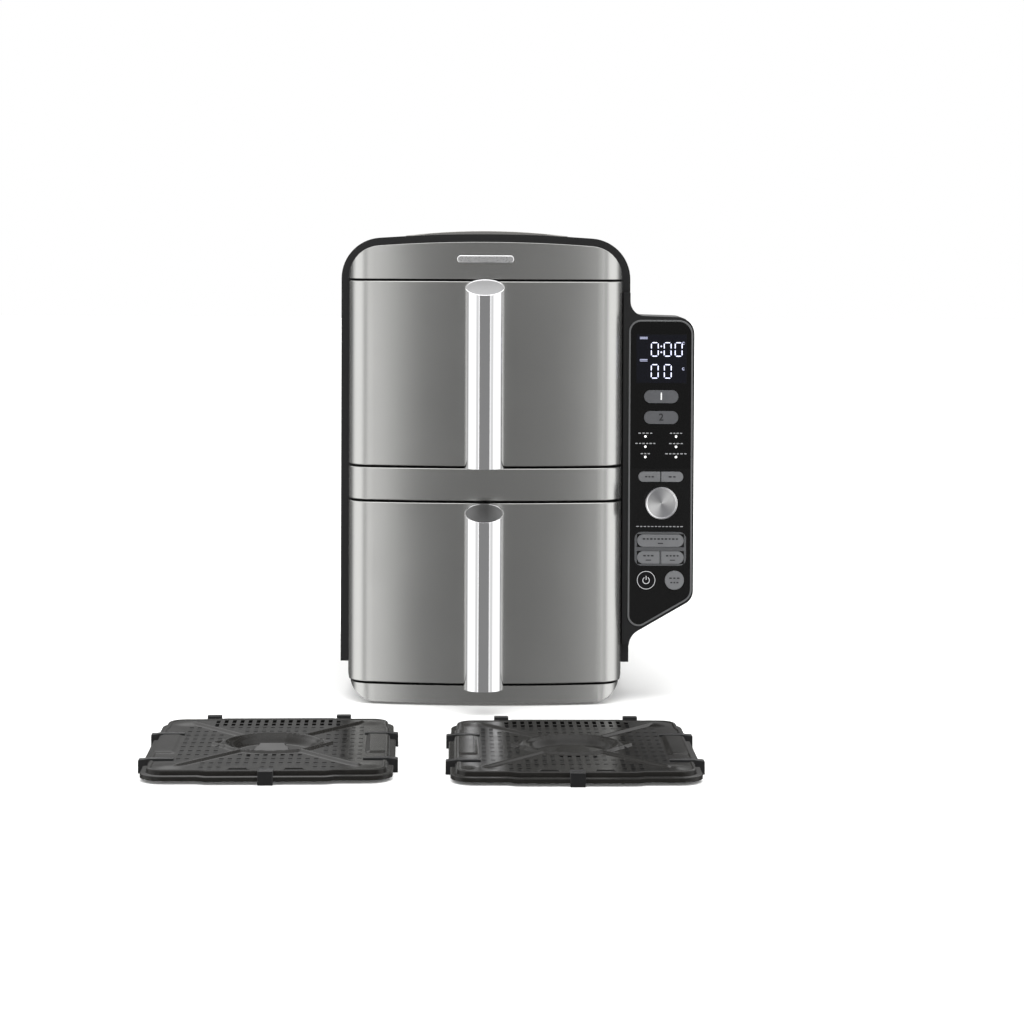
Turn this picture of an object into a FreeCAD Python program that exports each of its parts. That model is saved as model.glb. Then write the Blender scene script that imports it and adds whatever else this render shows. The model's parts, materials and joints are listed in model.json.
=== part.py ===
import FreeCAD, Part
import math
import os
from FreeCAD import Vector

# A two-drawer air fryer: two drawers, one above the other, each with its own fan and heater behind it,
# a control wing on the right-hand side, and the two crisper plates taken out and laid in front.
# Millimetres. X runs to the right, Y to the back and Z up. While the pieces are modelled, X = 0 is the
# drawers' centreline, Y = 0 the foremost point of the drawer fronts and Z = 0 the worktop.

# ---- driving dimensions: the housing ----
BODY_HALF = 118.5          # half the housing's width
RIM_BAND = 6.5             # black rim that shows round the fascias
WALL = 2.5                 # moulded walls
SHEET = 0.8                # pressed steel sheet
FLOOR_GAP = 2.0            # underside of the housing above the worktop
PLINTH_TOP = 17.1          # seam under the lower drawer
LOWER_FRONT = 148.5        # from seam to seam over the lower drawer
MIDDLE_BAND = 28.1         # from seam to seam over the middle fascia
UPPER_FRONT = 151.5        # from seam to seam over the upper drawer
TOP_BAND = 30.8            # top fascia, from its seam to its crest
SEAM = 1.6                 # open gap at each seam
CROWN_RADIUS = 1210.0      # crown of the top edge, seen from the front
TOP_CORNER = 27.0          # top corners of the fascia, seen from the front
PLINTH_CORNER = 24.0       # bottom corners of the plinth, seen from the front
SIDE_FOOT = 31.0           # bottom edge of the side covers
TRAY_INSET = 10.7          # base tray's side inside the side cover's face
MACHINE_SPACE = 112.9      # from the cavities' back to the housing's back
SPACER = 2.75              # wall spacers behind the rear cover

# ---- driving dimensions: fronts and handles ----
FRONT_BOW = 465.0          # radius of the bowed fronts, seen from above
FRONT_CORNER = 22.0        # radius where the fronts turn back into their sides
FRONT_RETURN = 1.8         # straight run of the fronts' sides behind that radius
FRONT_WALL = 3.0
DRAWER_GAP = 1.5           # from the drawer fronts' back edge to the front frame
FRAME_DEPTH = 6.0          # front frame, front to back
BACKING = 4.0              # plate that closes a front from behind
PLUG = 4.0                 # its raised middle, which stands in the mouth
HANDLE_RADIUS = 15.75
HANDLE_WALL = 1.6
HANDLE_REACH = 34.0        # handle's axis in front of the drawer front
HANDLE_SLANT = 21.6        # degrees, the handle's sloping top
HANDLE_LIFT = 2.4          # handle's foot above the seam under its drawer
HANDLE_RISE = 1.0          # handle's highest point above the seam over its drawer
HANDLE_DRAIN = 2.5         # radius of the hole in the handle's foot
POST_RADIUS = 8.0
POST_CLEARANCE = 0.1       # round the posts, in the front's holes
POST_FOOT = 6.0            # lower post's underside above the handle's foot
POST_HEAD = 12.0           # upper post's top below the handle's lowest top edge
BADGE_HALF = 23.0
BADGE_HEIGHT = 6.0
BADGE_LIFT = 0.8           # badge's face in front of the top fascia
BADGE_LOW = 14.0           # badge's lower edge above the seam

# ---- driving dimensions: cavities, pans, fans ----
SIDE_SPACE = 15.5          # from the housing's side to the cavity's inner side
CAVITY_LIFT = 5.0          # cavity floor above the seam under its drawer
CAVITY_HEAD = 2.5          # cavity ceiling below the lower front's upper seam
PAN_GAP = 1.0              # pan's rim to the cavity's side
PAN_RIM = 3.0
PAN_DRAFT = 5.0            # how much each side leans in towards the bottom
PAN_WALL = 2.0
PAN_DEPTH = 231.0
PAN_CORNER = 26.0
PAN_HEADROOM = 15.0        # cavity ceiling above the pan's rim
RUNNER_HEIGHT = 4.0
RUNNER_WIDTH = 6.0
RUNNER_INSET = 6.0         # runners inside the pan's lower side
RUNNER_END = 10.0          # runners' ends inside the pan's
RUNNER_GAP = 0.3           # pan's bottom above its runners
FAN_SPACE = 35.8           # pan's back to the cavity's rear wall
FAN_ROOM = 20.5            # from the fan's rim to the cavity's ceiling
FAN_DEPTH = 11.0
FAN_BACK = 4.0             # fan's disc in front of the cavity's rear wall
HEATER_TUBE = 3.3
HEATER_GAP = 7.7           # between the fan's rim and the heater's tube
HEATER_OPEN = 24.0         # degrees left open at the foot of the heater's ring
HEATER_SPACE = 12.0        # heater's centre in front of the cavity's rear wall
HEATER_TAIL = 8.0          # heater's ends behind that wall
GRILLE_SPACE = 21.0        # fan grille in front of the same wall
GRILLE_EDGE = 1.7          # grille's rim beyond the heater's tube
GRILLE_SLOTS = 16
SHAFT_RADIUS = 3.0
SHAFT_CLEARANCE = 0.05
COOLING_FAN_RADIUS = 38.0
COOLING_FAN_GAP = 10.0     # cooling fan behind the cavity's rear wall
BRACKET_GAP = 26.0         # motor bracket behind the same wall
BRACKET_EDGE = 5.0         # bracket's edge beyond its stand-offs
MOTOR_RADIUS = 29.0
MOTOR_LENGTH = 46.0

# ---- driving dimensions: control wing ----
WING_WIDTH = 52.5          # from the housing's side to the wing's outer edge
WING_TOP = 315.0
WING_SLOPE = 30.15         # degrees, the wing's sloping lower edge
WING_FOOT = 53.3           # where the sloping edge meets the housing's side
WING_CORNER = 14.0
WING_LAP = 5.7             # how far the wing laps over the front frame, to the left
WING_PROUD = 6.5           # wing's face in front of the front frame
WING_COVE = 12.0           # radius where its top runs into the housing's side
WING_DEPTH = 62.0          # wing's back behind its front
PANEL_MARGIN = 1.2         # from the wing's edge to the trim
TRIM_WIDTH = 1.4
PANEL_THICK = 2.5
PANEL_PROUD = 0.5          # panel's face in front of the wing's frame
TRIM_PROUD = 0.4           # trim in front of the panel's face
BOARD_SPACE = 8.5          # control board behind the panel
BOARD_THICK = 1.6
BUTTON_GAP = 0.25          # all round each button
BUTTON_TRAVEL = 0.8
BUTTON_PROUD = 0.4         # buttons in front of the panel's face
BUTTON_LIP = 1.2           # buttons' retaining lips
BUTTON_STEM = 1.5
KNOB_RADIUS = 13.0
KNOB_LENGTH = 12.0
KNOB_GAP = 0.6             # knob's back in front of the panel

# ---- driving dimensions: crisper plates ----
PLATE_HALF_WIDTH = 88.0
PLATE_HALF_DEPTH = 106.0
PLATE_SHEET = 1.2
PLATE_EDGE_LOW = 2.4       # skirt's lower edge above the worktop
PLATE_STEP = 5.6           # height of the outer ledge
PLATE_TOP = 8.6            # height of the perforated field
LEDGE = 5.0                # width of the outer ledge
BOWL_RADIUS = 33.0
CLIP_REACH = 3.5           # silicone bumpers' feet beyond the plate's sides
CLIP_HALF = 3.5
CLIP_LENGTH = 25.0
CLIP_PLACES = (-61.0, 35.0)  # side bumpers in front of and behind the middle
HOLE_WIDTH = 3.0           # perforations, longer from front to back
HOLE_LENGTH = 8.5
HOLE_PITCH_X = 6.1
HOLE_PITCH_Y = 15.0
PLATES = {"left": (-151.8, -210.0, 2.4), "right": (66.2, -211.0, 1.2)}  # where each lies, and its turn

# ---- heights and depths worked out from them ----
LOWER_TOP = PLINTH_TOP + LOWER_FRONT
UPPER_LOW = LOWER_TOP + MIDDLE_BAND
UPPER_TOP = UPPER_LOW + UPPER_FRONT
FASCIA_TOP = UPPER_TOP + TOP_BAND
RIM_TOP = FASCIA_TOP + RIM_BAND
FASCIA_HALF = BODY_HALF - RIM_BAND
RIM_CORNER = TOP_CORNER + RIM_BAND
FRONT_CORNER_DEPTH = FRONT_BOW - math.sqrt((FRONT_BOW - FRONT_CORNER) ** 2
                                           - (FASCIA_HALF - FRONT_CORNER) ** 2)
FRONT_DEPTH = FRONT_CORNER_DEPTH + FRONT_RETURN
FRAME_FRONT = FRONT_DEPTH + DRAWER_GAP
FRAME_BACK = FRAME_FRONT + FRAME_DEPTH
CAVITY_HALF = BODY_HALF - SIDE_SPACE
CAVITY_HEIGHT = LOWER_FRONT - CAVITY_LIFT - CAVITY_HEAD
PAN_FRONT = FRONT_DEPTH + PLUG
PAN_BACK = PAN_FRONT + PAN_DEPTH
CAVITY_BACK = PAN_BACK + FAN_SPACE
MACHINE_FRONT = CAVITY_BACK + SHEET
REAR_FACE = MACHINE_FRONT + MACHINE_SPACE
COVER_BACK = REAR_FACE - WALL
TRAY_HALF = BODY_HALF - TRAY_INSET
TRAY_SILL = PLINTH_TOP - 5.0
WING_EDGE = BODY_HALF + WING_WIDTH
WING_FRONT = FRAME_FRONT - WING_PROUD
WING_BACK = WING_FRONT + WING_DEPTH
PANEL_FRONT = WING_FRONT - PANEL_PROUD
PANEL_BACK = PANEL_FRONT + PANEL_THICK
BOARD_FRONT = PANEL_BACK + BOARD_SPACE
BOARD_BACK = BOARD_FRONT + BOARD_THICK
PANEL_CENTRE = BODY_HALF + WING_WIDTH / 2 - 0.75
FAN_RADIUS = CAVITY_HEIGHT / 2 - FAN_ROOM
HEATER_RADIUS = FAN_RADIUS + HEATER_TUBE + HEATER_GAP
LEVELS = {"lower": PLINTH_TOP, "upper": UPPER_LOW}
SEAM_TOPS = {"lower": LOWER_TOP, "upper": UPPER_TOP}
AXES = {level: low + CAVITY_LIFT + CAVITY_HEIGHT / 2 for level, low in LEVELS.items()}

nodes = {}


# ---------------------------------------------------------------- shapes

def box(x0, x1, y0, y1, z0, z1):
    return Part.makeBox(x1 - x0, y1 - y0, z1 - z0, Vector(x0, y0, z0))


def rod(x, z, radius, y0, y1):
    """A cylinder that runs front to back."""
    return Part.makeCylinder(radius, y1 - y0, Vector(x, y0, z), Vector(0, 1, 0))


def post(x, y, radius, z0, z1):
    """An upright cylinder."""
    return Part.makeCylinder(radius, z1 - z0, Vector(x, y, z0))


def elevation(y):
    """Places an outline drawn as seen from the front."""
    return lambda u, v: Vector(u, y, v)


def plan(z):
    """Places an outline drawn as seen from above, with its second axis to the front."""
    return lambda u, v: Vector(u, -v, z)


def rounded_face(corners, place):
    """A flat face round (u, v, radius) corners; each corner is an arc of its own radius."""
    starts = []
    arcs = []
    count = len(corners)
    for index, (u, v, radius) in enumerate(corners):
        before = corners[index - 1]
        after = corners[(index + 1) % count]
        here = Vector(u, v, 0)
        back = (Vector(before[0], before[1], 0) - here).normalize()
        ahead = (Vector(after[0], after[1], 0) - here).normalize()
        half_angle = back.getAngle(ahead) / 2
        if radius <= 0:
            starts.append((here, here))
            arcs.append(None)
            continue
        run = radius / math.tan(half_angle)
        middle = (back + ahead).normalize() * (radius / math.sin(half_angle) - radius)
        starts.append((here + back * run, here + ahead * run))
        arcs.append(here + middle)
    edges = []
    for index in range(count):
        enter, leave = starts[index]
        if arcs[index] is not None:
            points = [place(p.x, p.y) for p in (enter, arcs[index], leave)]
            edges.append(Part.Arc(*points).toShape())
        arrive = starts[(index + 1) % count][0]
        if (arrive - leave).Length > 1e-6:
            edges.append(Part.makeLine(place(leave.x, leave.y), place(arrive.x, arrive.y)))
    return Part.Face(Part.Wire(edges))


def bowed_face(half, crest, bow, corner, base, base_corner, place):
    """A face whose top edge is bowed, with rounded corners that meet the bow and the sides in tangents."""
    centre = crest - bow
    corner_u = half - corner
    corner_v = centre + math.sqrt((bow - corner) ** 2 - corner_u ** 2)
    lean = math.atan2(corner_u, corner_v - centre)
    meet = Vector(bow * math.sin(lean), centre + bow * math.cos(lean), 0)
    halfway = (lean + math.pi / 2) / 2
    bend = Vector(corner_u + corner * math.sin(halfway), corner_v + corner * math.cos(halfway), 0)
    foot_u = half - base_corner
    foot_v = base + base_corner

    def arc(*points):
        return Part.Arc(*[place(u, v) for u, v in points]).toShape()

    def line(*points):
        return Part.makeLine(*[place(u, v) for u, v in points])

    edges = [
        arc((-meet.x, meet.y), (0, crest), (meet.x, meet.y)),
        arc((meet.x, meet.y), (bend.x, bend.y), (half, corner_v)),
        line((half, corner_v), (half, foot_v)),
    ]
    if base_corner > 0:
        turn = base_corner * (1 - math.sqrt(0.5))
        edges.append(arc((half, foot_v), (half - turn, base + turn), (foot_u, base)))
    edges.append(line((foot_u, base), (-foot_u, base)))
    if base_corner > 0:
        edges.append(arc((-foot_u, base), (-half + turn, base + turn), (-half, foot_v)))
    edges.append(line((-half, foot_v), (-half, corner_v)))
    edges.append(arc((-half, corner_v), (-bend.x, bend.y), (-meet.x, meet.y)))
    return Part.Face(Part.Wire(edges))


def prism_y(face, depth):
    """A face seen from the front, given its depth."""
    return face.extrude(Vector(0, depth, 0))


def prism_z(face, height):
    """A face seen from above, given its height."""
    return face.extrude(Vector(0, 0, height))


def rounded_box_z(x0, x1, y0, y1, z0, z1, radius):
    """A box with rounded upright edges."""
    corners = [(x0, -y0, radius), (x1, -y0, radius), (x1, -y1, radius), (x0, -y1, radius)]
    return prism_z(rounded_face(corners, plan(z0)), z1 - z0)


def housing_prism(inset, base, y0, y1):
    """The housing's section, with its crowned top and rounded shoulders, run from front to back."""
    face = bowed_face(BODY_HALF - inset, RIM_TOP - inset, CROWN_RADIUS - inset, RIM_CORNER - inset,
                      base, 0, elevation(y0))
    return prism_y(face, y1 - y0)


def fascia_prism(inset):
    """The outline of all the fascias together, seen from the front."""
    face = bowed_face(FASCIA_HALF - inset, FASCIA_TOP - inset, CROWN_RADIUS - inset, TOP_CORNER - inset,
                      FLOOR_GAP + inset, PLINTH_CORNER - inset, elevation(-PAN_FRONT))
    return prism_y(face, 3 * PAN_FRONT)


def bowed_column(inset, z0, z1, back):
    """The fronts' plan, bowed with rounded corners, raised from z0 to z1."""
    face = bowed_face(FASCIA_HALF - inset, -inset, FRONT_BOW - inset, FRONT_CORNER - inset,
                      -back, 0, plan(z0))
    return prism_z(face, z1 - z0)


def front_shell(z0, z1, back):
    """A bowed front with walls all round, open at its back."""
    outside = bowed_column(0, z0, z1, back).common(fascia_prism(0))
    inside = bowed_column(FRONT_WALL, z0 + FRONT_WALL, z1 - FRONT_WALL, back)
    return outside.cut(inside.common(fascia_prism(FRONT_WALL)))


def span(a, b):
    """Two places in rising order, for a box on either side of the middle."""
    return min(a, b), max(a, b)


def turned_about_y(shape, axis_z, degrees):
    """A copy of the shape, turned about a front-to-back axis over the middle."""
    copy = shape.copy()
    copy.rotate(Vector(0, 0, axis_z), Vector(0, 1, 0), degrees)
    return copy


def add(name, *solids):
    nodes[name] = list(solids)


# ---------------------------------------------------------------- housing

def mouth(level):
    """The opening that a drawer slides through."""
    floor = LEVELS[level] + CAVITY_LIFT
    return box(-CAVITY_HALF, CAVITY_HALF, 0, CAVITY_BACK, floor, floor + CAVITY_HEIGHT)


def switch_height(level):
    return LEVELS[level] + LOWER_FRONT / 2


SWITCH_X = FASCIA_HALF - FRONT_WALL - 2.0
SWITCH_PIN = 1.2           # radius of the door switches' pins
SWITCH_AIR = 0.3           # between a pin and the closed drawer's front
SWITCH_TALL = 7.0          # half height of a switch


def make_front_frame():
    frame = housing_prism(0, SIDE_FOOT, FRAME_FRONT, FRAME_BACK)
    sill = box(-TRAY_HALF, TRAY_HALF, FRAME_FRONT, FRAME_BACK, TRAY_SILL, SIDE_FOOT)
    frame = frame.fuse(sill)
    for level in LEVELS:
        frame = frame.cut(mouth(level))
        for side in (-1, 1):
            hole = rod(side * SWITCH_X, switch_height(level), SWITCH_PIN, FRAME_FRONT, FRAME_BACK)
            frame = frame.cut(hole)
    add("front_bezel", frame.removeSplitter())


def make_fascias():
    top = front_shell(UPPER_TOP + SEAM / 2, FASCIA_TOP, FRAME_FRONT)
    middle = front_shell(LOWER_TOP + SEAM / 2, UPPER_LOW - SEAM / 2, FRAME_FRONT)
    bottom = front_shell(FLOOR_GAP, PLINTH_TOP - SEAM / 2, FRAME_FRONT)
    add("top_fascia", top)
    add("middle_fascia", middle)
    add("bottom_fascia", bottom)
    low = UPPER_TOP + BADGE_LOW
    high = low + BADGE_HEIGHT
    end = BADGE_HEIGHT / 2 - 0.01
    outline = [(-BADGE_HALF, low, end), (BADGE_HALF, low, end),
               (BADGE_HALF, high, end), (-BADGE_HALF, high, end)]
    pill = prism_y(rounded_face(outline, elevation(-BADGE_LIFT - 1)), FRONT_WALL)
    skin = bowed_column(-BADGE_LIFT, low, high, FRAME_FRONT)
    add("badge", skin.common(pill).cut(bowed_column(0, low - 1, high + 1, FRAME_FRONT)))


BOSS_HALF = 5.5            # screw bosses inside the side covers
BOSS_LENGTH = 16.0
SCREW_RADIUS = 1.75
SCREW_LENGTH = 12.0        # inside its boss
SCREW_HEAD = 1.6
SCREW_LOW = 29.0           # lowest screws above the side covers' foot
SCREW_HIGH = 25.0          # highest screws below the seam over the upper drawer


def screw_places():
    """Where the rear cover's screws go, as (x, z)."""
    across = BODY_HALF - WALL - BOSS_HALF
    low = SIDE_FOOT + SCREW_LOW
    high = UPPER_TOP - SCREW_HIGH
    return [(side * across, z) for side in (-1, 1) for z in (low, (low + high) / 2, high)]


WIRE_RADIUS = 6.0          # way for the wires from the housing into the wing
WIRE_Y = FRAME_BACK + 20.0
WIRE_Z = LOWER_TOP + MIDDLE_BAND / 2


def wire_way():
    """The round way through the side cover and the wing's inner wall."""
    start = Vector(BODY_HALF - 2 * WALL, WIRE_Y, WIRE_Z)
    return Part.makeCylinder(WIRE_RADIUS, 4 * WALL, start, Vector(1, 0, 0))


def make_side_covers():
    boss_front = COVER_BACK - BOSS_LENGTH
    for side, name in ((-1, "side_cover_left"), (1, "side_cover_right")):
        outer, inner = side * BODY_HALF, side * (BODY_HALF - WALL)
        cover = box(*span(outer, inner), FRAME_BACK, COVER_BACK, SIDE_FOOT, UPPER_TOP)
        flange = box(*span(side * TRAY_HALF, outer), FRAME_BACK, COVER_BACK, SIDE_FOOT, SIDE_FOOT + WALL)
        cover = cover.fuse(flange)
        for x, z in screw_places():
            if x * side > 0:
                boss = box(*span(x - side * BOSS_HALF, inner), boss_front, COVER_BACK,
                           z - BOSS_HALF, z + BOSS_HALF)
                cover = cover.fuse(boss).cut(rod(x, z, SCREW_RADIUS, boss_front, COVER_BACK))
        add(name, cover.cut(wire_way()).removeSplitter())


PANEL_RISE = 3.0           # top panel's crest above the housing's
PANEL_BOW = 560.0          # radius of its crown
PANEL_HALF = 68.0
PANEL_END = 25.0           # from its ends to the top cover's
PANEL_ROUND = 20.0         # its corners, seen from above


def crown_points(radius, top, reach):
    """Three points on a crown over the middle of the housing."""
    return [Vector(x, FRAME_BACK + PANEL_END, top - radius + math.sqrt(radius ** 2 - x ** 2))
            for x in (-reach, 0, reach)]


def make_top():
    outside = housing_prism(0, UPPER_TOP, FRAME_BACK, COVER_BACK)
    inside = housing_prism(WALL, UPPER_TOP - 1, FRAME_BACK, COVER_BACK)
    add("top_cover", outside.cut(inside))
    crest = RIM_TOP + PANEL_RISE
    upper = crown_points(PANEL_BOW, crest, PANEL_HALF + 5)
    lower = crown_points(CROWN_RADIUS, RIM_TOP, PANEL_HALF + 5)
    outline = [Part.Arc(*upper).toShape(), Part.makeLine(upper[2], lower[2]),
               Part.Arc(*reversed(lower)).toShape(), Part.makeLine(lower[0], upper[0])]
    front, back = FRAME_BACK + PANEL_END, COVER_BACK - PANEL_END
    panel = prism_y(Part.Face(Part.Wire(outline)), back - front)
    keep = rounded_box_z(-PANEL_HALF, PANEL_HALF, front, back, UPPER_TOP, crest + 1, PANEL_ROUND)
    add("top_panel", panel.common(keep))


GLAND_X = -84.0
GLAND_Z = 48.0
GLAND_NECK = 7.0
GLAND_FLANGE = 9.5
GLAND_LIP = 3.0            # gland's flange inside the rear cover
CORD_BORE = 3.6
VENT_SLOT = 3.2            # height of a cooling slot
VENT_PITCH = 7.0
VENT_ROWS = 9
SPACER_HALF = 8.0          # wall spacers' half width and half height
SPACER_FOOT = 5.0
SPACER_HIGH = 8.0          # upper spacers below the seam over the upper drawer
SPACER_LOW = 45.0          # lower spacers above the rear cover's foot


def make_rear_cover():
    cover = housing_prism(0, SIDE_FOOT, COVER_BACK, REAR_FACE)
    cover = cover.fuse(box(-TRAY_HALF, TRAY_HALF, COVER_BACK, REAR_FACE, TRAY_SILL, SIDE_FOOT))
    vent_half = 0.55 * CAVITY_HALF
    for axis in AXES.values():
        for row in range(VENT_ROWS):
            low = axis + (row - (VENT_ROWS - 1) / 2) * VENT_PITCH - VENT_SLOT / 2
            cover = cover.cut(box(-vent_half, vent_half, COVER_BACK, REAR_FACE, low, low + VENT_SLOT))
    for x in (-0.62 * BODY_HALF, 0.62 * BODY_HALF):
        for z in (UPPER_TOP - SPACER_HIGH, SIDE_FOOT + SPACER_LOW):
            spacer = box(x - SPACER_HALF, x + SPACER_HALF, REAR_FACE, REAR_FACE + SPACER,
                         z - SPACER_FOOT, z + SPACER_FOOT)
            cover = cover.fuse(spacer)
    for x, z in screw_places():
        cover = cover.cut(rod(x, z, SCREW_RADIUS, COVER_BACK, REAR_FACE))
    cover = cover.cut(rod(GLAND_X, GLAND_Z, GLAND_NECK, COVER_BACK, REAR_FACE))
    add("rear_cover", cover.removeSplitter())
    screws = []
    for x, z in screw_places():
        shank = rod(x, z, SCREW_RADIUS, COVER_BACK - SCREW_LENGTH, REAR_FACE)
        screws.append(shank.fuse(rod(x, z, 2 * SCREW_RADIUS, REAR_FACE, REAR_FACE + SCREW_HEAD)))
    add("rear_screws", *screws)
    gland = rod(GLAND_X, GLAND_Z, GLAND_NECK, COVER_BACK, REAR_FACE)
    gland = gland.fuse(rod(GLAND_X, GLAND_Z, GLAND_FLANGE, REAR_FACE, REAR_FACE + SPACER))
    gland = gland.fuse(rod(GLAND_X, GLAND_Z, GLAND_FLANGE, COVER_BACK - GLAND_LIP, COVER_BACK))
    bore = rod(GLAND_X, GLAND_Z, CORD_BORE, COVER_BACK - GLAND_LIP, REAR_FACE + SPACER)
    add("cord_gland", gland.cut(bore))


FOOT_RADIUS = 11.0
FOOT_NECK = 4.0
FOOT_HEAD = 6.0
FOOT_CLEARANCE = 0.1       # round the neck, in the tray's hole
FOOT_SIDE = 27.0           # feet's centres inside the tray's sides
FOOT_FRONT = 22.0          # front feet behind the front frame
FOOT_REAR = 28.0           # rear feet in front of the rear cover
PILLAR_RADIUS = 7.0        # pillars under the lower cavity
PILLAR_FRONT = 50.0
PILLAR_REAR = 30.0
BOARD_POST = 4.0           # radius of the posts under the power board
SIDE_CLEAR = 0.3           # round the cavities
TRAY_VENTS = 6
TRAY_VENT_PITCH = 9.0
TRAY_VENT_HALF = 40.0
TRAY_VENT_START = 22.0     # first slot behind the cavities


def foot_places():
    across = TRAY_HALF - FOOT_SIDE
    return [(x, y) for x in (-across, across) for y in (FRAME_BACK + FOOT_FRONT, COVER_BACK - FOOT_REAR)]


def tray_section(inset, top, y0, y1):
    """The base tray's section, with its rounded lower edges, run from front to back."""
    half, low, corner = TRAY_HALF - inset, FLOOR_GAP + inset, PLINTH_CORNER - 4 - inset
    corners = [(-half, low, corner), (half, low, corner), (half, top, 0), (-half, top, 0)]
    return prism_y(rounded_face(corners, elevation(y0)), y1 - y0)


def make_base():
    floor = FLOOR_GAP + WALL
    tray = tray_section(0, SIDE_FOOT, FRAME_FRONT, COVER_BACK)
    tray = tray.cut(tray_section(WALL, SIDE_FOOT + 1, FRAME_BACK + WALL, COVER_BACK - WALL))
    tray = tray.cut(box(-TRAY_HALF, TRAY_HALF, FRAME_FRONT, FRAME_BACK, TRAY_SILL, SIDE_FOOT))
    cavity_floor = PLINTH_TOP + CAVITY_LIFT - SHEET
    cavity_side = CAVITY_HALF + SHEET + SIDE_CLEAR
    tray = tray.cut(box(-cavity_side, cavity_side, FRAME_BACK, FRAME_BACK + WALL, cavity_floor, SIDE_FOOT))
    for x in (-0.8 * CAVITY_HALF, 0.8 * CAVITY_HALF):
        for y in (FRAME_BACK + PILLAR_FRONT, CAVITY_BACK - PILLAR_REAR):
            tray = tray.fuse(post(x, y, PILLAR_RADIUS, floor - WALL / 2, cavity_floor))
    for x, y in board_posts():
        tray = tray.fuse(post(x, y, BOARD_POST, floor - WALL / 2, BOARD_LOW))
    for x, y in foot_places():
        tray = tray.cut(post(x, y, FOOT_NECK, FLOOR_GAP, floor))
    for row in range(TRAY_VENTS):
        y = MACHINE_FRONT + TRAY_VENT_START + row * TRAY_VENT_PITCH
        tray = tray.cut(box(-TRAY_VENT_HALF, TRAY_VENT_HALF, y, y + VENT_SLOT, FLOOR_GAP, floor))
    add("base_tray", tray.removeSplitter())
    feet = []
    for x, y in foot_places():
        neck = post(x, y, FOOT_NECK - FOOT_CLEARANCE, FLOOR_GAP, floor)
        foot = post(x, y, FOOT_RADIUS, 0, FLOOR_GAP).fuse(neck)
        feet.append(foot.fuse(post(x, y, FOOT_HEAD, floor, floor + 2)))
    add("feet", *feet)


# ---------------------------------------------------------------- cooking spaces

def make_cavities():
    for level in LEVELS:
        floor = LEVELS[level] + CAVITY_LIFT
        shell = box(-CAVITY_HALF - SHEET, CAVITY_HALF + SHEET, FRAME_BACK, MACHINE_FRONT,
                    floor - SHEET, floor + CAVITY_HEIGHT + SHEET)
        shell = shell.cut(mouth(level))
        shell = shell.cut(rod(0, AXES[level], 2 * SHAFT_RADIUS, CAVITY_BACK, MACHINE_FRONT))
        for x, z in heater_legs(AXES[level]):
            shell = shell.cut(rod(x, z, HEATER_TUBE, CAVITY_BACK, MACHINE_FRONT))
        add(level + "_cavity", shell)
    low = LOWER_TOP - CAVITY_HEAD + SHEET
    high = UPPER_LOW + CAVITY_LIFT - SHEET
    outer = CAVITY_HALF + SHEET
    shelf = box(-outer, outer, FRAME_BACK, CAVITY_BACK, low, high)
    inner = outer - SHEET
    shelf = shelf.cut(box(-inner, inner, FRAME_BACK, CAVITY_BACK, low + SHEET, high - SHEET))
    add("divider_shelf", shelf)
    rails = []
    for level in LEVELS:
        floor = LEVELS[level] + CAVITY_LIFT
        for side in (-1, 1):
            outer = CAVITY_HALF - PAN_DRAFT - PAN_RIM - PAN_GAP - RUNNER_INSET
            rails.append(box(*span(side * outer, side * (outer - RUNNER_WIDTH)), FRAME_BACK + RUNNER_END,
                             PAN_BACK - RUNNER_END, floor, floor + RUNNER_HEIGHT))
    add("drawer_runners", *rails)


def heater_legs(axis):
    """Where the ring's two ends turn back through the cavity's wall, as (x, z)."""
    lean = math.radians(HEATER_OPEN / 2)
    across = HEATER_RADIUS * math.sin(lean)
    return [(x, axis - HEATER_RADIUS * math.cos(lean)) for x in (-across, across)]


def make_heaters():
    rings = []
    heater_y = CAVITY_BACK - HEATER_SPACE
    for axis in AXES.values():
        ring = Part.makeTorus(HEATER_RADIUS, HEATER_TUBE, Vector(0, 0, 0), Vector(0, 0, 1),
                              -180, 180, 360 - HEATER_OPEN)
        ring.rotate(Vector(0, 0, 0), Vector(0, 0, 1), -90 + HEATER_OPEN / 2)
        ring.rotate(Vector(0, 0, 0), Vector(1, 0, 0), 90)
        ring.translate(Vector(0, heater_y, axis))
        for x, z in heater_legs(axis):
            ring = ring.fuse(Part.makeSphere(HEATER_TUBE, Vector(x, heater_y, z)))
            ring = ring.fuse(rod(x, z, HEATER_TUBE, heater_y, MACHINE_FRONT + HEATER_TAIL))
        rings.append(ring.removeSplitter())
    add("heaters", *rings)


def make_fan_grilles():
    grilles = []
    radius = HEATER_RADIUS + HEATER_TUBE + GRILLE_EDGE
    front = CAVITY_BACK - GRILLE_SPACE
    leg = 0.73 * radius
    leg_radius, slot_half, hub, band = 2.2, 2.0, 16.0, 7.0
    for axis in AXES.values():
        disc = rod(0, axis, radius, front, front + SHEET)
        for x in (-leg, leg):
            for z in (axis - leg, axis + leg):
                disc = disc.fuse(rod(x, z, leg_radius, front, CAVITY_BACK))
        slot = box(-slot_half, slot_half, front, front + SHEET, axis + hub, axis + radius - band)
        for step in range(GRILLE_SLOTS):
            disc = disc.cut(turned_about_y(slot, axis, (step + 0.5) * 360 / GRILLE_SLOTS))
        grilles.append(disc)
    add("fan_grilles", *grilles)


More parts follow.
